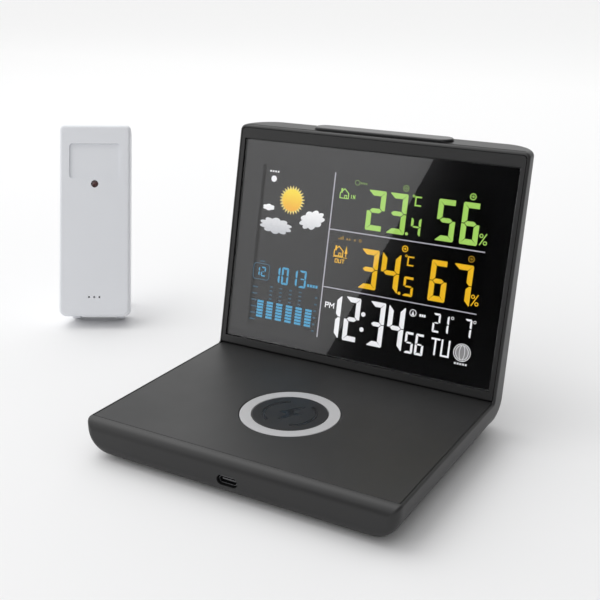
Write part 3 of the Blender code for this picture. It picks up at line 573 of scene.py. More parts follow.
def heel_loops(wall, lid, half):
    turn = pi / 2 - LEAN
    inner_centre = Vector((DISPLAY_Y - CROOK * tan(turn / 2), BASE_TOP + CROOK))
    outer_z = BASE_BOTTOM + HEEL
    reach = THICKNESS - HEEL + (outer_z - BASE_TOP) * sin(LEAN)
    outer_centre = Vector((DISPLAY_Y + reach / cos(LEAN), outer_z))
    steps = 16
    for k in range(steps + 1):
        a = turn * k / steps
        out = Vector((sin(a), -cos(a)))
        skin = BASE_SKIN + (HEEL_SKIN - BASE_SKIN) * k / steps
        yield inner_centre + out * (CROOK + lid), outer_centre + out * (HEEL - wall), half, 1, skin


def top_loops(wall, lid, half):
    back_r, corner_r = (max(r - wall, 0.3) for r in (TOP_BACK, TOP_CORNER))
    front_r = max(RIM_ROUND - wall, 0.3)
    for a in reversed(quarter(6)):
        distance = back_r * (1 - cos(a))
        height = TOP - wall - distance
        front = behind_display(height, lid + edge_inset(front_r, distance))
        back = behind_display(height, THICKNESS - wall - edge_inset(back_r, distance))
        yield front, back, half - edge_inset(corner_r, distance), 1, TOP_SKIN


def l_body(wall=0.0, lid=0.0):
    """The L as a closed loft, this far inside the outer skin and this deep under the open face."""
    half = HALF - wall
    inner_r = max(RIM_ROUND - wall, 0.2)
    bm = bmesh.new()
    loops = []
    stations = [*nose_loops(wall, lid, half), *heel_loops(wall, lid, half), *top_loops(wall, lid, half)]
    for inner, outer, width, share, skin in stations:
        points = section(inner, outer, width, inner_r * share, (skin - wall) * share)
        loops.append([bm.verts.new(p) for p in points])
    for a, b in zip(loops, loops[1:]):
        for i in range(len(a)):
            j = (i + 1) % len(a)
            bm.faces.new((a[i], a[j], b[j], b[i]))
    bm.faces.new(loops[0])
    bm.faces.new(loops[-1])
    return bm


# --- console shells

def on_display(bm):
    """Moves a shape from the display's frame to the console's, in millimetres."""
    turn = DISPLAY.to_3x3().to_4x4()
    bmesh.ops.transform(bm, matrix=Matrix.Translation((0, DISPLAY_Y, BASE_TOP)) @ turn, verts=bm.verts)
    return bm


def pill(length, width, centre_y, z, segments=14):
    bounds = ((-length / 2, length / 2), (centre_y - width / 2, centre_y + width / 2))
    return rounded_box(*bounds, z, width / 2 - 0.01, segments=segments)


def port_cutter():
    """The port's pill-shaped opening, with a small flare at its mouth."""
    hole = rounded_box(about(5), (-7, -2), about(2.25, PORT_Z), 2.24, "y", 12)
    mouth = [v for v in hole.verts if v.co.y < -6]
    for v in mouth:
        v.co.y = -5.6
    flare = rounded_box(about(5.7), (-6.4, -4.75), about(2.95, PORT_Z), 2.94, "y", 12)
    for v in flare.verts:
        if v.co.y > -5:
            v.co.x *= 5.02 / 5.7
            v.co.z = PORT_Z + (v.co.z - PORT_Z) * 2.27 / 2.95
    return hole, flare


def rear_openings():
    """Everything that passes through the wall behind the display, and the screws' counterbores."""
    through = (15, 20)  # in depth, from inside the wall to outside it
    tools = [rods("y", [(x, KEY_S) for x in KEYS], through, 4, 40)]
    tools.append(rod("y", (COIN_X, COIN_S), through, COIN_RADIUS + GAP, 72))
    tools.append(rod("y", (INLET_X, INLET_S), through, 4.6, 48))
    for x in VENTS:
        tools.append(rounded_box(about(0.8, x), through, (28, 46), 0.79, "y", 6))
    tools.append(rods("y", BACK_SCREWS, (15.5, 20), 3, 36))
    return on_display(together(*tools))


def under_openings():
    """The recesses for the feet, and the screws' counterbores."""
    return together(rods("z", FEET, (0, 2), 5.5, 40), rods("z", BASE_SCREWS, (0, 3.8), 3, 36))


def make_housing():
    rim = HALF - RIM
    shell = cut(l_body(), l_body(WALL, PANEL), box(about(rim), (0.05, 103.5), (BASE_TOP - LEDGE, 22)))
    seat = rounded_box(about(rim), (-4, LEDGE), (-0.5, 113.55), 1.8, "y", 8)
    shell = add(cut(shell, on_display(seat)), rods("z", BASE_SCREWS, (3, 6), 4.5, 32))
    slot = pill(BAR_LENGTH + 2 * GAP, BAR_WIDTH + 2 * GAP, BAR_Y, (126, 134))
    bores = rods("z", BASE_SCREWS, (2, 7), 1.6, 24)
    shell = cut(shell, *port_cutter(), slot, rear_openings(), under_openings(), bores)
    piece("console_shell", shell, CONSOLE, "console", "black_plastic", ["housing"], sharp=30)


def make_base_panel():
    half = HALF - RIM - GAP
    pad_hole = rod("z", (0, PAD_Y), (16, 19), 23.1, 160)
    slab = cut(box(about(half), (0.35, 103.2), (BASE_TOP - PANEL, BASE_TOP)), pad_hole)
    slab = add(soften(slab, 0.3), rods("z", BASE_SCREWS, (6.3, 16.8), 3.2, 32))
    slab = cut(slab, rods("z", BASE_SCREWS, (5, 15), 1.6, 24))
    piece("charging_deck", slab, CONSOLE, "console", "black_plastic", ["base_top_panel"], PANEL_BLACK)


def bolt_outline(grow=0.0):
    """A lightning bolt round the pad's centre, this much larger all round."""
    bolt = [(1.6, 8.6), (-5.4, -1.2), (-0.9, -1.2), (-2.0, -8.6), (5.4, 1.8), (0.9, 1.8), (3.4, 8.6)]
    factor = 1 + grow / 6
    return [(x * factor, PAD_Y + y * factor) for x, y in bolt]


def ring_band(inner, outer, start, end, steps=40):
    """Part of a flat ring round the pad's centre, as an outline."""
    return arc(0, PAD_Y, outer, start, end, steps) + arc(0, PAD_Y, inner, end, start, steps)


def make_charging_pad():
    at, r = (0, PAD_Y, 0), 0.3
    ring = [(RING_INNER, 17.7), *arc(RING_INNER + r, 17.7, r, 180, 90)[1:]]
    ring += [*arc(RING_OUTER - r, 17.7, r, 90, 0), (RING_OUTER, 15.8), (RING_INNER, 15.8)]
    bm = turned(ring, at, closed=True, steps=160)
    piece("light_ring", bm, CONSOLE, "console", "ring", ["charging_ring"])
    edge = 17.2
    face = turned([(0, 17.9), *arc(edge - r, 17.6, r, 90, 0), (edge, 15.8), (0, 15.8)], at, steps=160)
    marks = [bolt_outline(), ring_band(11.2, 12.6, 118, 242), ring_band(11.2, 12.6, -62, 62)]
    face = cut(face, prisms(marks, (17.55, 18.4)))
    piece("pad_disc", face, CONSOLE, "console", "black_satin", ["charging_disc"])
    inlay = [bolt_outline(-0.2), ring_band(11.35, 12.45, 119, 241), ring_band(11.35, 12.45, -61, 61)]
    bm = soften(prisms(inlay, (17.56, 17.86)), 0.08, 2)
    piece("charging_mark", bm, CONSOLE, "console", "black_satin", look=GLOSS_BLACK)


def make_snooze_bar():
    bar = pill(BAR_LENGTH, BAR_WIDTH, BAR_Y, (127, BAR_TOP), 16)
    top = edges_where(bar, lambda p: p.z > BAR_TOP - 0.1)
    round_edges(bar, top, 0.7, 5)
    bar = add(bar, pill(76, 11.4, BAR_Y, (126.2, 127.5), 12), rod("z", (0, BAR_Y), (125.1, 126.6), 2.2, 24))
    piece("snooze_cap", bar, CONSOLE, "snooze", "black_satin", ["snooze_bar"])


def make_feet():
    for i, (x, y) in enumerate(FEET, 1):
        profile = [(0, 1.7), (5, 1.7), *arc(4.6, 0.4, 0.4, 0, -90), (0, 0)]
        foot = turned(profile, (x, y, 0), steps=48)
        piece(f"foot_pad_{i}", foot, CONSOLE, "console", "rubber", [f"rubber_foot_{i}"])


def screw(head, shank, length, at, along, recess):
    """A cross-head screw: its head is given as (radius, low end, high end)."""
    head_r, head_low, head_high = head
    profile = [(0, head_high), (head_r, head_high), (head_r, head_low)]
    profile += [(shank, head_low), (shank, length), (0, length)]
    bm = turned(profile if head_high > length else profile[::-1], at, along, steps=32)
    return soften(cut(bm, *recess), 0.12, 2)


def cross(u, w, span, flat):
    """The two bars of a cross recess, for a screw that is upright or lies along Y."""
    long, short = 1.5, 0.38
    for a, b in ((long, short), (short, long)):
        if flat:
            yield box(about(a, u), about(b, w), span)
        else:
            yield box(about(a, u), span, about(b, w))


def make_screws():
    for i, (x, y) in enumerate(BASE_SCREWS, 1):
        bm = screw((2.6, 3.5, 1.7), 1.25, 13, (x, y, 0), "z", cross(x, y, (1, 2.6), True))
        piece(f"base_screw_head_{i}", bm, CONSOLE, "console", "steel", [f"base_screw_{i}"])
    rows = (
        ("back_screw", BACK_SCREWS, (2.6, 15.8, 17.4), 1.25, 4.6, (16.5, 18), DISPLAY, "console"),
        ("sensor_screw", SENSOR_SCREWS, (2.1, 19.8, 21.4), 1.0, 4.2, (20.6, 22), SENSOR, "sensor"),
    )
    for kind, places, head, shank, length, recess, place, body in rows:
        for i, (x, s) in enumerate(places, 1):
            bm = screw(head, shank, length, (x, 0, s), "y", cross(x, s, recess, False))
            piece(f"{kind}_head_{i}", bm, place, body, "steel", [f"{kind}_{i}"])


# --- display

def make_display_frame():
    half = HALF - RIM - GAP
    lip = rounded_box(about(half), (0, PANEL), (0.45, 113.25), 1.8, "y")
    low_front = edges_where(lip, lambda p: p.z < 0.9 and p.y < 0.1)
    round_edges(lip, low_front, 0.8, 6)
    seat, seat_up = about(GLASS_HALF + GAP), (GLASS_LOW - GAP, GLASS_HIGH + GAP)
    lip = cut(lip, box(seat, (-1, 3), seat_up))
    lip = soften(lip, 0.25)
    back = cut(box(about(73.9), (1.2, 3.5), (2.5, 109.8)), box(about(70), (0, 5), (7.5, 104.8)))
    back = cut(back, box(seat, (0, GLASS_DEPTH + 1.8), seat_up))
    bm = add(lip, back, rods("y", BACK_SCREWS, (3.2, 9.2), 2.9, 32))
    bm = cut(bm, rods("y", BACK_SCREWS, (4.2, 10), 1.6, 24))
    piece("display_bezel", bm, DISPLAY, "console", "black_plastic", ["display_frame"])
    across, up = about(GLASS_HALF), (GLASS_LOW, GLASS_HIGH)
    bm = soft_box(across, (GLASS_DEPTH, GLASS_DEPTH + 1.5), up, 0.6, "y", 0.2)
    piece("display_glass", bm, DISPLAY, "console", "window", ["display_window"])
    across, up = ((a + GAP, b - GAP) for a, b in (across, up))
    bm = soft_box(across, (GLASS_DEPTH + 1.55, GLASS_DEPTH + 1.75), up, 0.5, "y", 0.05, 2)
    bm = cut(bm, box(LCD_OPENING[0], (2, 4), LCD_OPENING[1]))
    piece("lcd_surround", bm, DISPLAY, "console", "lcd", look=MASK_BLACK)
    bm = soft_box((-61.2, 61.6), (IMAGE_DEPTH + 0.25, IMAGE_DEPTH + 0.6), (13.2, 95.8), 0.3, "y", 0.05, 2)
    piece("lcd_face", cut(bm, box((-64, -59.3), (2, 4), (10, 99))), DISPLAY, "console", "lcd")


# --- lit image

SEGMENTS = {
    "0": "abcdef", "1": "bc", "2": "abged", "3": "abgcd", "4": "fgbc", "5": "afgcd",
    "6": "afgecd", "7": "abc", "8": "abcdefg", "9": "abcdfg",
}
SEGMENT_GAP, SEGMENT_TIP = 0.21, 0.3


def segment_outlines(digit, x0, x1, s0, s1, stroke):
    """The lit segments of one digit, as outlines."""
    w, h, t, g = x1 - x0, s1 - s0, stroke, SEGMENT_GAP
    m, n = h / 2, stroke / 2
    tip = SEGMENT_TIP
    a = [(g + tip, h), (w - g - tip, h), (w - g, h - tip), (w - t - g, h - t), (t + g, h - t), (g, h - tip)]
    b = [(w, h - g - 0.4), (w, m + g), (w - n, m + g), (w - t, m + n + g), (w - t, h - t - g)]
    b.append((w - tip, h - g - 0.2))
    over, under = (t + g, m + n - g), (t + g, m - n + g)
    shapes = {
        "a": a,
        "b": b,
        "c": [(x, h - s) for x, s in b],
        "d": [(x, h - s) for x, s in a],
        "e": [(w - x, h - s) for x, s in b],
        "f": [(w - x, s) for x, s in b],
        "g": [(n + g, m), over, (w - over[0], over[1]), (w - n - g, m), (w - under[0], under[1]), under],
    }
    lit_ones = SEGMENTS[digit]
    end = w - 0.35 * t
    for across, side in (("a", "b"), ("d", "c")):
        if side not in lit_ones:
            whole = [(end, h if x > w - t and s > h - t / 2 else s) if x > w / 2 else (x, s) for x, s in a]
            shapes[across] = whole if across == "a" else [(x, h - s) for x, s in whole]
    return [[(x0 + x, s0 + s) for x, s in shapes[k]] for k in lit_ones]


def number(text, places, s0, s1, stroke):
    """Digits, each between its own two X limits."""
    found = []
    for digit, (x0, x1) in zip(text, places):
        found += segment_outlines(digit, x0, x1, s0, s1, stroke)
    return found


def bar(x0, x1, s0, s1):
    return [(x0, s0), (x1, s0), (x1, s1), (x0, s1)]


def dot(x, s, radius, steps=24):
    return arc(x, s, radius, 0, 360 * (1 - 1 / steps), steps - 1)


def stroke_line(points, width):
    """Each straight stretch of a line, as an outline."""
    found = []
    for a, b in zip(points, points[1:]):
        a, b = Vector(a), Vector(b)
        along = (b - a).normalized() * width / 2
        side = Vector((-along.y, along.x))
        a, b = a - along, b + along
        found.append([tuple(a - side), tuple(b - side), tuple(b + side), tuple(a + side)])
    return found


LETTERS = {
    "I": [[(0.5, 0), (0.5, 1)]],
    "N": [[(0, 0), (0, 1), (1, 0), (1, 1)]],
    "O": [[(0, 0), (0, 1), (1, 1), (1, 0), (0, 0)]],
    "U": [[(0, 1), (0, 0), (1, 0), (1, 1)]],
    "T": [[(0, 1), (1, 1)], [(0.5, 0), (0.5, 1)]],
    "P": [[(0, 0), (0, 1), (1, 1), (1, 0.5), (0, 0.5)]],
    "M": [[(0, 0), (0, 1), (0.5, 0.4), (1, 1), (1, 0)]],
    "C": [[(1, 1), (0, 1), (0, 0), (1, 0)]],
    "%": [[(0.9, 1), (0.1, 0)]],
}


def word(text, x, s, width, height, stroke, pitch):
    """Letters built from straight strokes."""
    found = []
    for i, letter in enumerate(text):
        for line in LETTERS[letter]:
            found += stroke_line([(x + i * pitch + u * width, s + v * height) for u, v in line], stroke)
    return found


def hoop(x, s, radius, stroke, steps=28):
    """A thin ring, as short straight stretches."""
    return stroke_line(arc(x, s, radius, 0, 360, steps), stroke)


def degree_c(x, s):
    return hoop(x + 0.7, s + 4.6, 0.45, 0.3, 12) + word("C", x + 1.9, s + 0.3, 2.6, 4.0, 0.7, 1)


def percent(x, s):
    found = word("%", x, s, 3.4, 5.0, 0.5, 1)
    return found + hoop(x + 0.7, s + 4.1, 0.75, 0.4, 14) + hoop(x + 2.8, s + 0.9, 0.75, 0.4, 14)


def house(x, s, size):
    """A house's outline with a door."""
    walls = [(0, 0), (0, 0.55), (0.5, 1), (1, 0.55), (1, 0), (0, 0)]
    door = [(0.55, 0), (0.55, 0.32), (0.8, 0.32), (0.8, 0)]
    found = stroke_line([(x + u * size, s + v * size) for u, v in walls], 0.45)
    found += stroke_line([(x + u * size, s + v * size) for u, v in door], 0.35)
    return found + [bar(x + 0.08 * size, x + 0.26 * size, s + 0.55 * size, s + 1.05 * size)]


def trend_arrow(x, s):
    """A ring with an arrow that points to the right."""
    head = [(x - 0.1, s + 0.75), (x + 0.85, s), (x - 0.1, s - 0.75)]
    return hoop(x, s, 1.35, 0.45) + [head, bar(x - 0.9, x, s - 0.2, s + 0.2)]


def dashes(x, s, count, length=0.9, height=0.9, pitch=1.35):
    """A row of small marks where a caption would be."""
    return [bar(x + i * pitch, x + i * pitch + length, s, s + height) for i in range(count)]


def cloud(x, s, wide, high, lean, bumps):
    """A scalloped outline round a leaning oval."""
    outline = []
    rise, run = sin(lean), cos(lean)
    for k in range(12 * bumps):
        a = 2 * pi * k / (12 * bumps)
        bulge = 0.84 + 0.22 * abs(sin(bumps * a / 2))
        u, v = wide * bulge * cos(a), high * bulge * sin(a)
        outline.append((x + u * run - v * rise, s + u * rise + v * run))
    return outline


def sun_rays(x, s, inner, outer, count):
    """A disc with small pointed rays."""
    outline = []
    for k in range(2 * count):
        a = pi * k / count
        radius = outer if k % 2 else inner
        outline.append((x + radius * cos(a), s + radius * sin(a)))
    return outline


def image_piece(name, outlines, look, raise_by=0.0):
    """Flat lit shapes just behind the window."""
    near = IMAGE_DEPTH - raise_by
    moved = [[(x + IMAGE_X, s + IMAGE_S) for x, s in outline] for outline in outlines]
    bm = prisms(moved, (near, near + IMAGE_THICK), "xz")
    piece(name, bm, DISPLAY, "console", "lcd", look=look)


def height_of(s):
    """The world height of a place on the image, in metres."""
    return (DISPLAY @ Vector((0, IMAGE_DEPTH * MM, s * MM))).z


def lit_look(name, colour, strength=1.0, second=None, s0=0.0, s1=110.0):
    return lit(name, colour, second or colour, strength, height_of(s0), height_of(s1))


def make_indoor_row(look, dim):
    shapes = number("2356", ((0.4, 9.8), (11.7, 21.2), (36.8, 46), (49, 57.8)), 70.5, 90, 2.6)
    shapes += number("4", ((24.2, 29.3),), 70.6, 79.8, 1.2)
    shapes += [dot(22.5, 71.4, 0.75)]
    shapes += degree_c(23.2, 85) + percent(58.7, 71.4) + house(-15, 84.2, 4.6)
    shapes += word("IN", -9.2, 84.5, 0.9, 1.7, 0.3, 1.5) + trend_arrow(53, 92.7)
    image_piece("indoor_reading", shapes, look)
    fine = hoop(-6.3, 92.5, 1.2, 0.35) + dashes(-4.6, 92.0, 3) + trend_arrow(19.5, 92.7)
    image_piece("indoor_dim_marks", fine, dim)


def make_outdoor_row(look, dim):
    shapes = number("3467", ((0.4, 9.9), (11.7, 21.4), (37.2, 45.8), (48.4, 58)), 41.8, 61.3, 2.6)
    shapes += number("5", ((24.2, 29.4),), 41.8, 51.2, 1.2)
    shapes += [dot(22.5, 42.6, 0.75)]
    shapes += degree_c(23.2, 56.4) + percent(58.7, 43) + house(-14.6, 55.6, 4.8)
    shapes += [[(-8.9, 57.2), (-7.3, 57.2), (-8.1, 61.0)]]
    shapes += [bar(-8.3, -7.9, 55.6, 57.2), bar(-15, -7.2, 54.9, 55.2)]
    shapes += word("OUT", -13.6, 52.3, 1.2, 1.7, 0.35, 1.9) + trend_arrow(22.8, 64.2)
    image_piece("outdoor_reading", shapes, look)
    signal = [bar(-13.2 + 0.8 * i, -12.7 + 0.8 * i, 63.8, 64.5 + 0.4 * i) for i in range(4)]
    signal += dashes(-8.8, 64.0, 2) + dashes(-4.6, 64.0, 1) + hoop(-1.2, 64.6, 0.6, 0.3, 12)
    image_piece("outdoor_dim_marks", signal + trend_arrow(56.2, 64.2), dim)


def make_clock_row(look):
    places = ((-11.2, -7.2), (-4.9, 3.3), (8.5, 16.7), (18.5, 27.2))
    shapes = number("1234", places, 14.5, 36.5, 2.5)
    shapes += [dot(5.2, 29.1, 1.15), dot(5.2, 21.5, 1.15)]
    shapes += number("56", ((28.6, 33), (34, 38.4)), 14.6, 25, 1.15)
    shapes += number("217", ((41.5, 45.2), (46.3, 49.6), (57.2, 60.8)), 27.2, 36.4, 0.95)
    shapes += hoop(51, 35.4, 0.6, 0.25, 12) + hoop(62, 35.4, 0.6, 0.25, 12)
    shapes += word("TU", 42.4, 16.8, 3.6, 7.4, 0.85, 5.2)
    shapes += word("P", -16.1, 29.3, 1.5, 2.4, 0.5, 1) + word("M", -13.7, 29.3, 2.3, 2.4, 0.45, 1)
    shapes += hoop(31, 34.4, 1.6, 0.3) + [[(30.2, 33.2), (31.8, 33.2), (31, 35.4)]]
    shapes += dashes(34.4, 33.3, 3, 0.9, 1.2, 1.1)
    image_piece("clock_reading", shapes, look)


def make_moon(look, dim):
    x, s, r = 57.8, 20.2, 3.5
    shapes = hoop(x, s, 4.1, 0.35, 40)
    angles = [radians(-80 + 16 * k) for k in range(11)]
    for width in (3.1, 1.3, -1.3, -3.1):
        shapes += stroke_line([(x + width * cos(a), s + r * sin(a)) for a in angles], 0.3)
    image_piece("moon_outline", shapes + dashes(54.6, 14.3, 5), look)
    image_piece("moon_disc", [dot(x, s, 3.7, 40)], dim, -0.1)


def make_pressure_pane(look, dim):
    outline = [(-59, 37), (-51.5, 37), (-50.5, 38), (-50.5, 44.2), (-51.5, 45.2), (-59, 45.2)]
    outline += [(-60, 44.2), (-60, 38), (-59, 37)]
    shapes = number("1013", ((-46.6, -44), (-43, -39), (-36.4, -33.8), (-32.8, -28.6)), 36.3, 45.2, 1.05)
    shapes += number("12", ((-57.9, -56.2), (-55.4, -52.6)), 38.6, 43.6, 0.7)
    shapes += dashes(-27.6, 37.5, 4, 1.1, 1.4, 1.6)
    columns = (-55.7, -50, -44.3, -38.5, -32.8, -27.1)
    pitch, height = 1.55, 1.15
    for x in columns:
        shapes += [bar(x, x + 3.7, 17.3 + i * pitch, 17.3 + i * pitch + height) for i in range(6)]
    image_piece("pressure_reading", shapes, look)
    fine = stroke_line(outline, 0.35) + dashes(-56.6, 46.2, 3, 0.8, 0.6, 1.1)
    for i in range(6):
        fine += dashes(-59.4, 15.4 + i * 3.4, 3, 0.75, 0.7, 1.1) + dashes(-22.4, 15.4 + i * 3.4, 1, 1.3, 0.7)
    for x in columns[1:5]:
        fine += [bar(x + 0.9, x + 2.5, 27.4 + i * 2.1, 28.0 + i * 2.1) for i in range(4)]
    image_piece("pressure_fine_marks", fine, dim)


def make_forecast(white, cloud_look):
    x, s = -41.7, 79.7
    sun = lit_look("sun_look", srgb(246, 170, 40), 1.0, srgb(255, 226, 60), s - 6.5, s + 4)
    rays = lit_look("sun_rays_look", srgb(250, 226, 130), 1.0)
    image_piece("forecast_sun_rays", [sun_rays(x, s, 5.4, 7.5, 26)], rays)
    image_piece("forecast_sun", [dot(x, s, 5.6, 48)], sun, 0.05)
    small, right = cloud(-54.8, 74.6, 3.4, 1.6, 0.0, 6), cloud(-29.0, 71.2, 7.0, 4.4, 0.35, 9)
    lower = cloud(-49.6, 65.6, 9.2, 3.9, -0.05, 10)
    image_piece("forecast_clouds", [small, right, lower], cloud_look, 0.1)
    image_piece("forecast_marks", dashes(-56.2, 92.6, 4, 0.8, 0.9, 1.5) + [dot(-53.5, 89.3, 1.6)], white)


def make_dividers(look):
    lines = [bar(-19.1, -18.5, 13, 96.3), bar(-18.4, 62.2, 67.95, 68.5), bar(-18.4, 62.2, 39.0, 39.5)]
    image_piece("pane_dividers", lines, look)


def make_image():
    green, amber, cyan = srgb(170, 218, 100), srgb(244, 190, 20), srgb(72, 172, 218)
    white, lilac = srgb(250, 250, 252), srgb(205, 203, 214)
    make_indoor_row(lit_look("green_look", green, 1.0), lit_look("green_dim_look", green, 0.35))
    make_outdoor_row(lit_look("amber_look", amber, 1.0), lit_look("amber_dim_look", amber, 0.35))
    white_look = lit_look("white_look", white, 1.0)
    make_clock_row(white_look)
    make_moon(lit_look("moon_look", white, 0.8), lit_look("moon_dim_look", white, 0.25))
    make_pressure_pane(lit_look("cyan_look", cyan, 0.85), lit_look("cyan_dim_look", cyan, 0.25))
    make_forecast(white_look, lit_look("cloud_look", srgb(196, 198, 202), 1.0, srgb(255, 255, 255), 62, 76))
    make_dividers(lit_look("divider_look", lilac, 0.75))


# --- rear fittings

def make_rear_fittings():
    for i, x in enumerate(KEYS, 1):
        cap = [(0, 18.6), (1.8, 18.65), (2.8, 18.9), *arc(3.3, 18.6, 0.3, 90, 0), (3.6, 15.5), (4.6, 15.5)]
        key = turned([*cap, (4.6, 14.4), (2, 14.4), (2, 13.4), (0, 13.4)], (x, 0, KEY_S), "y", steps=48)
        piece(f"key_cap_{i}", key, DISPLAY, f"key_{i}", "black_satin", [f"rear_key_{i}"])
    edge = COIN_RADIUS
    profile = [(0, 18), *arc(edge - 0.35, 17.65, 0.35, 90, 0), (edge, 15.95), (0, 15.95)]
    door = turned(profile, (COIN_X, 0, COIN_S), "y", steps=96)
    slot = rounded_box(about(7, COIN_X), (17.2, 19), about(0.9, COIN_S), 0.88, "y", 6)
    arrow = [(COIN_X + 8.4, COIN_S + 3.2), (COIN_X + 9.8, COIN_S + 1.2), (COIN_X + 7.2, COIN_S + 1.2)]
    door = cut(door, slot, prism(arrow, (17.7, 18.4), "xz"))
    piece("coin_door_cap", door, DISPLAY, "coin_door", "black_plastic", ["coin_cell_door"])
    at, half = (INLET_X, INLET_S), 4.5
    socket = box(about(half, INLET_X), (10.6, 15.4), about(half, INLET_S))
    socket = add(soften(socket, 0.3, 2), rod("y", at, (15, 17.8), 4.2))
    socket = add(cut(socket, rod("y", at, (11.8, 19), 2.8)), rod("y", at, (11.2, 16.8), 0.9, 24))
    piece("inlet_socket", socket, DISPLAY, "console", "inner_plastic", ["power_inlet"])


# --- sensor

def tapered(bm):
    """Draws a shape's sides in towards the case's back."""
    for v in bm.verts:
        v.co.x *= 1 - SIDE_TAPER * v.co.y / SENSOR_DEPTH
    return bm


def case_inside(y):
    """The hollow of the case between two depths."""
    inner = SENSOR_HALF - SENSOR_WALL
    return tapered(box((-inner, inner), y, (SENSOR_WALL, SENSOR_HEIGHT - SENSOR_WALL)))


def case_blank(y, front):
    """The front or back half of the case, still solid."""
    bm = box((-SENSOR_HALF, SENSOR_HALF), y, (0, SENSOR_HEIGHT))
    round_edges(bm, edges_along(bm, "y", lambda m: m.z > 1), TOP_CORNERS, 8)
    round_edges(bm, edges_along(bm, "y", lambda m: m.z < 1), BOTTOM_CORNERS, 10)
    face_y = y[0] if front else y[1]
    round_edges(bm, edges_where(bm, lambda p: abs(p.y - face_y) < 0.01), RIM_EDGE, 6)
    split_y = y[1] if front else y[0]
    round_edges(bm, edges_where(bm, lambda p: abs(p.y - split_y) < 0.01), SEAM_EDGE, 2)
    return tapered(bm)


def make_sensor_front():
    case = cut(case_blank((0, SPLIT_Y - 0.15), True), case_inside((SENSOR_WALL, 14)))
    recess = rounded_box(about(RECESS_HALF), (-2, RECESS_DEPTH), (RECESS_LOW, RECESS_HIGH), 2.1, "y", 8)
    round_edges(recess, edges_where(recess, lambda p: p.y > RECESS_DEPTH - 0.1), RECESS_EDGE, 3)
    holes = [rod("y", (x, 11.7), (-1, 3), 0.6, 24) for x in (-3.14, 0, 3.14)]
    case = cut(case, recess, together(rod("y", (0, LED_Z), (-1, 3), 2.2), *holes))
    case = add(case, rods("y", SENSOR_SCREWS, (1.2, 11.6), 2.6, 24))
    case = cut(case, rods("y", SENSOR_SCREWS, (3.5, 13), 1.3, 20))
    piece("sensor_front", case, SENSOR, "sensor", "white_plastic", ["sensor_front_case"], sharp=30)
    lens = [(0, 4.2), (1.9, 4.2), (1.9, 0.9), *arc(1.5, 0.7, 0.4, 0, -70, 4), (0, 0.05)]
    bm = turned(lens, (0, 0, LED_Z), "y", steps=40)
    piece("led_lens", bm, SENSOR, "sensor", "led_lens", ["sensor_led_lens"])


def make_sensor_back():
    bay = DOOR_HALF + GAP
    inside = case_inside((10, SENSOR_DEPTH - SENSOR_WALL))
    case = cut(case_blank((SPLIT_Y + 0.15, SENSOR_DEPTH), False), inside)
    case = add(case, box(about(bay + 1.4), (7.8, 20.6), (4.5, 73.6)))
    case = cut(case, rounded_box(about(bay), (9, 24), (DOOR_LOW - GAP, DOOR_HIGH + GAP), 0.9, "y", 4))
    switch_slot = box((-10.9, -4.1), (7, 9.5), about(1.7, CONTROL_Z))
    case = cut(case, together(switch_slot, rod("y", (8, CONTROL_Z), (7, 9.5), 1.8, 32)))
    case = add(case, rods("y", SENSOR_SCREWS, (12.3, 20.6), 3, 32))
    case = cut(case, rods("y", SENSOR_SCREWS, (19.4, 23), 2.4, 32))
    case = cut(case, rods("y", SENSOR_SCREWS, (11, 20), 1.3, 20), rod("y", (0, 98), (19, 23), 3.2, 40))
    case = cut(case, rounded_box(about(1.6), (19, 23), (98, 105), 1.58, "y", 6))
    for side in (-1, 1):
        nub = soften(box(outward(side, 11.2, 15.6), (13, 19), (-1.2, 1)), 0.3, 2)
        lug_x = outward(side, LEG_OUTER + 0.4, LEG_OUTER + 2.4)
        lug = box(lug_x, (21, HINGE_Y + 2.2), about(2.2, HINGE_Z))
        round_edges(lug, edges_along(lug, "x", lambda m: m.y > HINGE_Y), 2.1, 6)
        stud = rod("x", (HINGE_Y, HINGE_Z), outward(side, LEG_INNER + 0.2, LEG_OUTER + 1), 1, 24)
        case = add(case, nub, lug, stud)
    piece("sensor_back", case, SENSOR, "sensor", "white_plastic", ["sensor_back_case"], sharp=30)


def make_sensor_door():
    door = soft_box(about(DOOR_HALF), (20.3, SENSOR_DEPTH), (DOOR_LOW, DOOR_HIGH), 0.8, "y", 0.25)
    grips = [rounded_box(about(5), (21.5, 23), (z, z + 1.1), 0.5, "y", 4) for z in (62, 64.2, 66.4)]
    door = cut(door, together(*grips))
    piece("battery_cover", door, SENSOR, "battery_door", "white_plastic", ["sensor_battery_door"])


def make_stand():
    """A U of two legs and a foot bar, which turns on the back case's studs."""
    t = STAND_T
    foot = box(about(LEG_OUTER), about(t), (-STAND_LENGTH, -STAND_LENGTH + 4.5))
    round_edges(foot, edges_along(foot, "x", lambda m: m.z < -STAND_LENGTH + 1), t - 0.02, 8)
    stand = foot
    for side in (-1, 1):
        leg = outward(side, LEG_INNER, LEG_OUTER)
        stand = add(stand, box(leg, about(t), (-STAND_LENGTH + 3, 0)), rod("x", (0, 0), leg, 2.2, 40))
        bore = outward(side, LEG_INNER - 1, LEG_OUTER + 1)
        stand = cut(stand, rod("x", (0, 0), bore, 1.3, 32))
    stand = soften(stand, 0.25, 2, 60)
    hinge = SENSOR @ Matrix.Translation(Vector((0, HINGE_Y, HINGE_Z)) * MM)
    open_at = hinge @ Matrix.Rotation(STAND_ANGLE, 4, "X")
    piece("fold_out_stand", stand, open_at, "stand", "white_plastic", ["sensor_stand"])


# --- studio

# The camera's place in the console's frame, in millimetres; its turns, in degrees; its lens
CAMERA_PLACE = (202.4, -298.8, 212.1)
CAMERA_TURN, CAMERA_TILT, CAMERA_ROLL = 29.78, 19.32, 0.25
CAMERA_LENS, CAMERA_SENSOR = 58.93, 36

# The flag, in metres from the window, and where on the window its corners show, in millimetres
FLAG_DISTANCE = 0.6
FLAG_CORNERS = ((31, 108), (-13, 5), (74, 110), (74, 3))

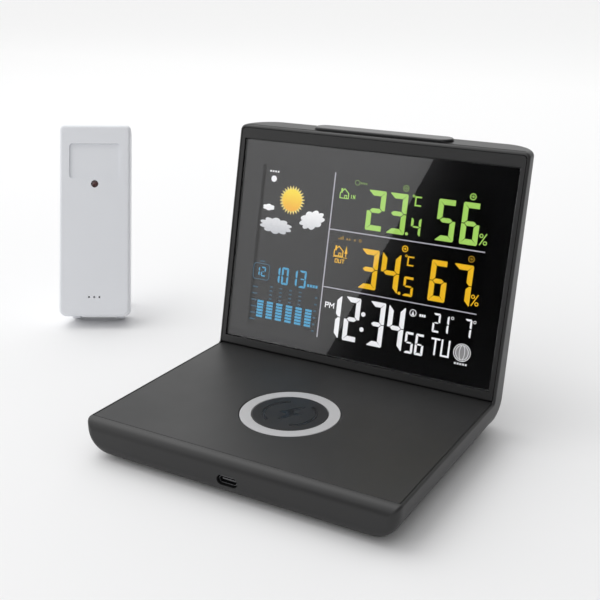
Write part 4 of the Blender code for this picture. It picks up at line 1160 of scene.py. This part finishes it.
# The floor, in metres: how far it goes each way, and how far it lies under the feet
FLOOR_REACH, FLOOR_GAP = 30.0, 0.0002

# The soft square light overhead, in metres, which faces the middle of the set
OVERHEAD_PLACE, OVERHEAD_SIZE, OVERHEAD_RADIANCE = (-0.8, 0.1, 1.5), 1.3, 1.4

# The studio's light by height and from left to right: from, to, and the two brightnesses
SKY_UP = (-0.05, 0.45, 0.82, 1.24)
SKY_ACROSS = (-0.2, 0.6, 1.0, 0.3)


def make_camera():
    data = bpy.data.cameras.new("camera")
    data.lens = CAMERA_LENS
    data.sensor_width = CAMERA_SENSOR
    data.clip_start = 0.01
    camera = placed("camera", data)
    turn = Matrix.Rotation(radians(CAMERA_TURN), 4, "Z")
    tilt = Matrix.Rotation(radians(90 - CAMERA_TILT), 4, "X")
    roll = Matrix.Rotation(radians(CAMERA_ROLL), 4, "Z")
    camera.matrix_world = CONSOLE @ Matrix.Translation(Vector(CAMERA_PLACE) * MM) @ turn @ tilt @ roll
    bpy.context.scene.camera = camera


def make_floor():
    """A wide pale floor, its colour painted a little whiter far behind the set than around it: painted light, in
    place of brighter light far back in the studio.
    """
    n = Nodes("studio_floor_look")
    near = n.blend(n.noise(6, 2), (0.84, 0.84, 0.845), (0.85, 0.85, 0.855))
    # Painted light: the colour turns from pale grey round the set to white 1.3 m behind it, standing in for the
    # brighter-lit distance.
    n.paint(n.between(n.along(1), 0, 1, 0.05, 1.3), near, (0.99, 0.99, 0.99))
    n.set(Roughness=0.7)
    bm = bmesh.new()
    corners = ((-1, -1), (1, -1), (1, 1), (-1, 1))
    bm.faces.new([bm.verts.new((x * FLOOR_REACH, y * FLOOR_REACH, 0)) for x, y in corners])
    floor = finished("studio_floor", bm, n.owner)
    floor.location.z = -FLOOR_GAP


def mirrored(x, up, distance):
    """Where the camera's ray goes, this far on from a place on the display's window, in metres."""
    at = DISPLAY @ Vector((x * MM, GLASS_DEPTH * MM, up * MM))
    facing = -Vector(coin_turn["axis"]).normalized()
    seen = (at - bpy.context.scene.camera.matrix_world.translation).normalized()
    return at + (seen - 2 * seen.dot(facing) * facing) * distance


def make_flag():
    """A black board that only the gloss sees: the window mirrors its slanted edge."""
    n = Nodes("flag_look")
    n.paint(n.noise(20, 2), (0.004, 0.004, 0.004), (0.006, 0.006, 0.006))
    n.set(Roughness=0.9, Specular_IOR_Level=0.1)
    high, low, far_high, far_low = (mirrored(x, up, FLAG_DISTANCE) for x, up in FLAG_CORNERS)
    corners = [high + (high - low) * 0.25, far_high + (far_high - high) * 0.6 + (high - low) * 0.25]
    corners += [far_low + (far_low - low) * 0.4 - (high - low) * 0.1, low - (high - low) * 0.1]
    bm = bmesh.new()
    bm.faces.new([bm.verts.new(c) for c in corners])
    bmesh.ops.solidify(bm, geom=bm.faces, thickness=0.004)
    flag = finished("studio_flag", bm, n.owner)
    flag.visible_camera = flag.visible_shadow = flag.visible_diffuse = False


def make_world():
    """A white studio all round, brighter above than at the horizon and on the left than on the right."""
    n = Nodes("studio", world=True)
    product = n.new("ShaderNodeMath", operation="MULTIPLY")
    for i, (axis, (start, end, low, high)) in enumerate(((2, SKY_UP), (0, SKY_ACROSS))):
        n.link(n.between(n.along(axis), low, high, start, end), product.inputs[i])
    n.link(product.outputs[0], n.shader.inputs["Strength"])
    n.set(Color=(1, 1, 1, 1))
    bpy.context.scene.world = n.owner
    bpy.context.scene.view_settings.view_transform = "Standard"


def make_lights():
    data = bpy.data.lights.new("overhead", "AREA")
    data.shape = "RECTANGLE"
    data.size = data.size_y = OVERHEAD_SIZE
    data.energy = OVERHEAD_RADIANCE * pi * OVERHEAD_SIZE**2
    light = placed("overhead", data)
    aim = (-Vector(OVERHEAD_PLACE)).to_track_quat("-Z", "Y").to_matrix().to_4x4()
    light.matrix_world = Matrix.Translation(OVERHEAD_PLACE) @ aim
    make_world()


# --- the whole

def main():
    make_camera()
    dress_nodes()
    make_housing()
    make_base_panel()
    make_charging_pad()
    make_snooze_bar()
    make_feet()
    make_screws()
    make_display_frame()
    make_image()
    make_rear_fittings()
    make_sensor_front()
    make_sensor_back()
    make_sensor_door()
    make_stand()
    make_floor()
    make_flag()
    make_lights()


main()
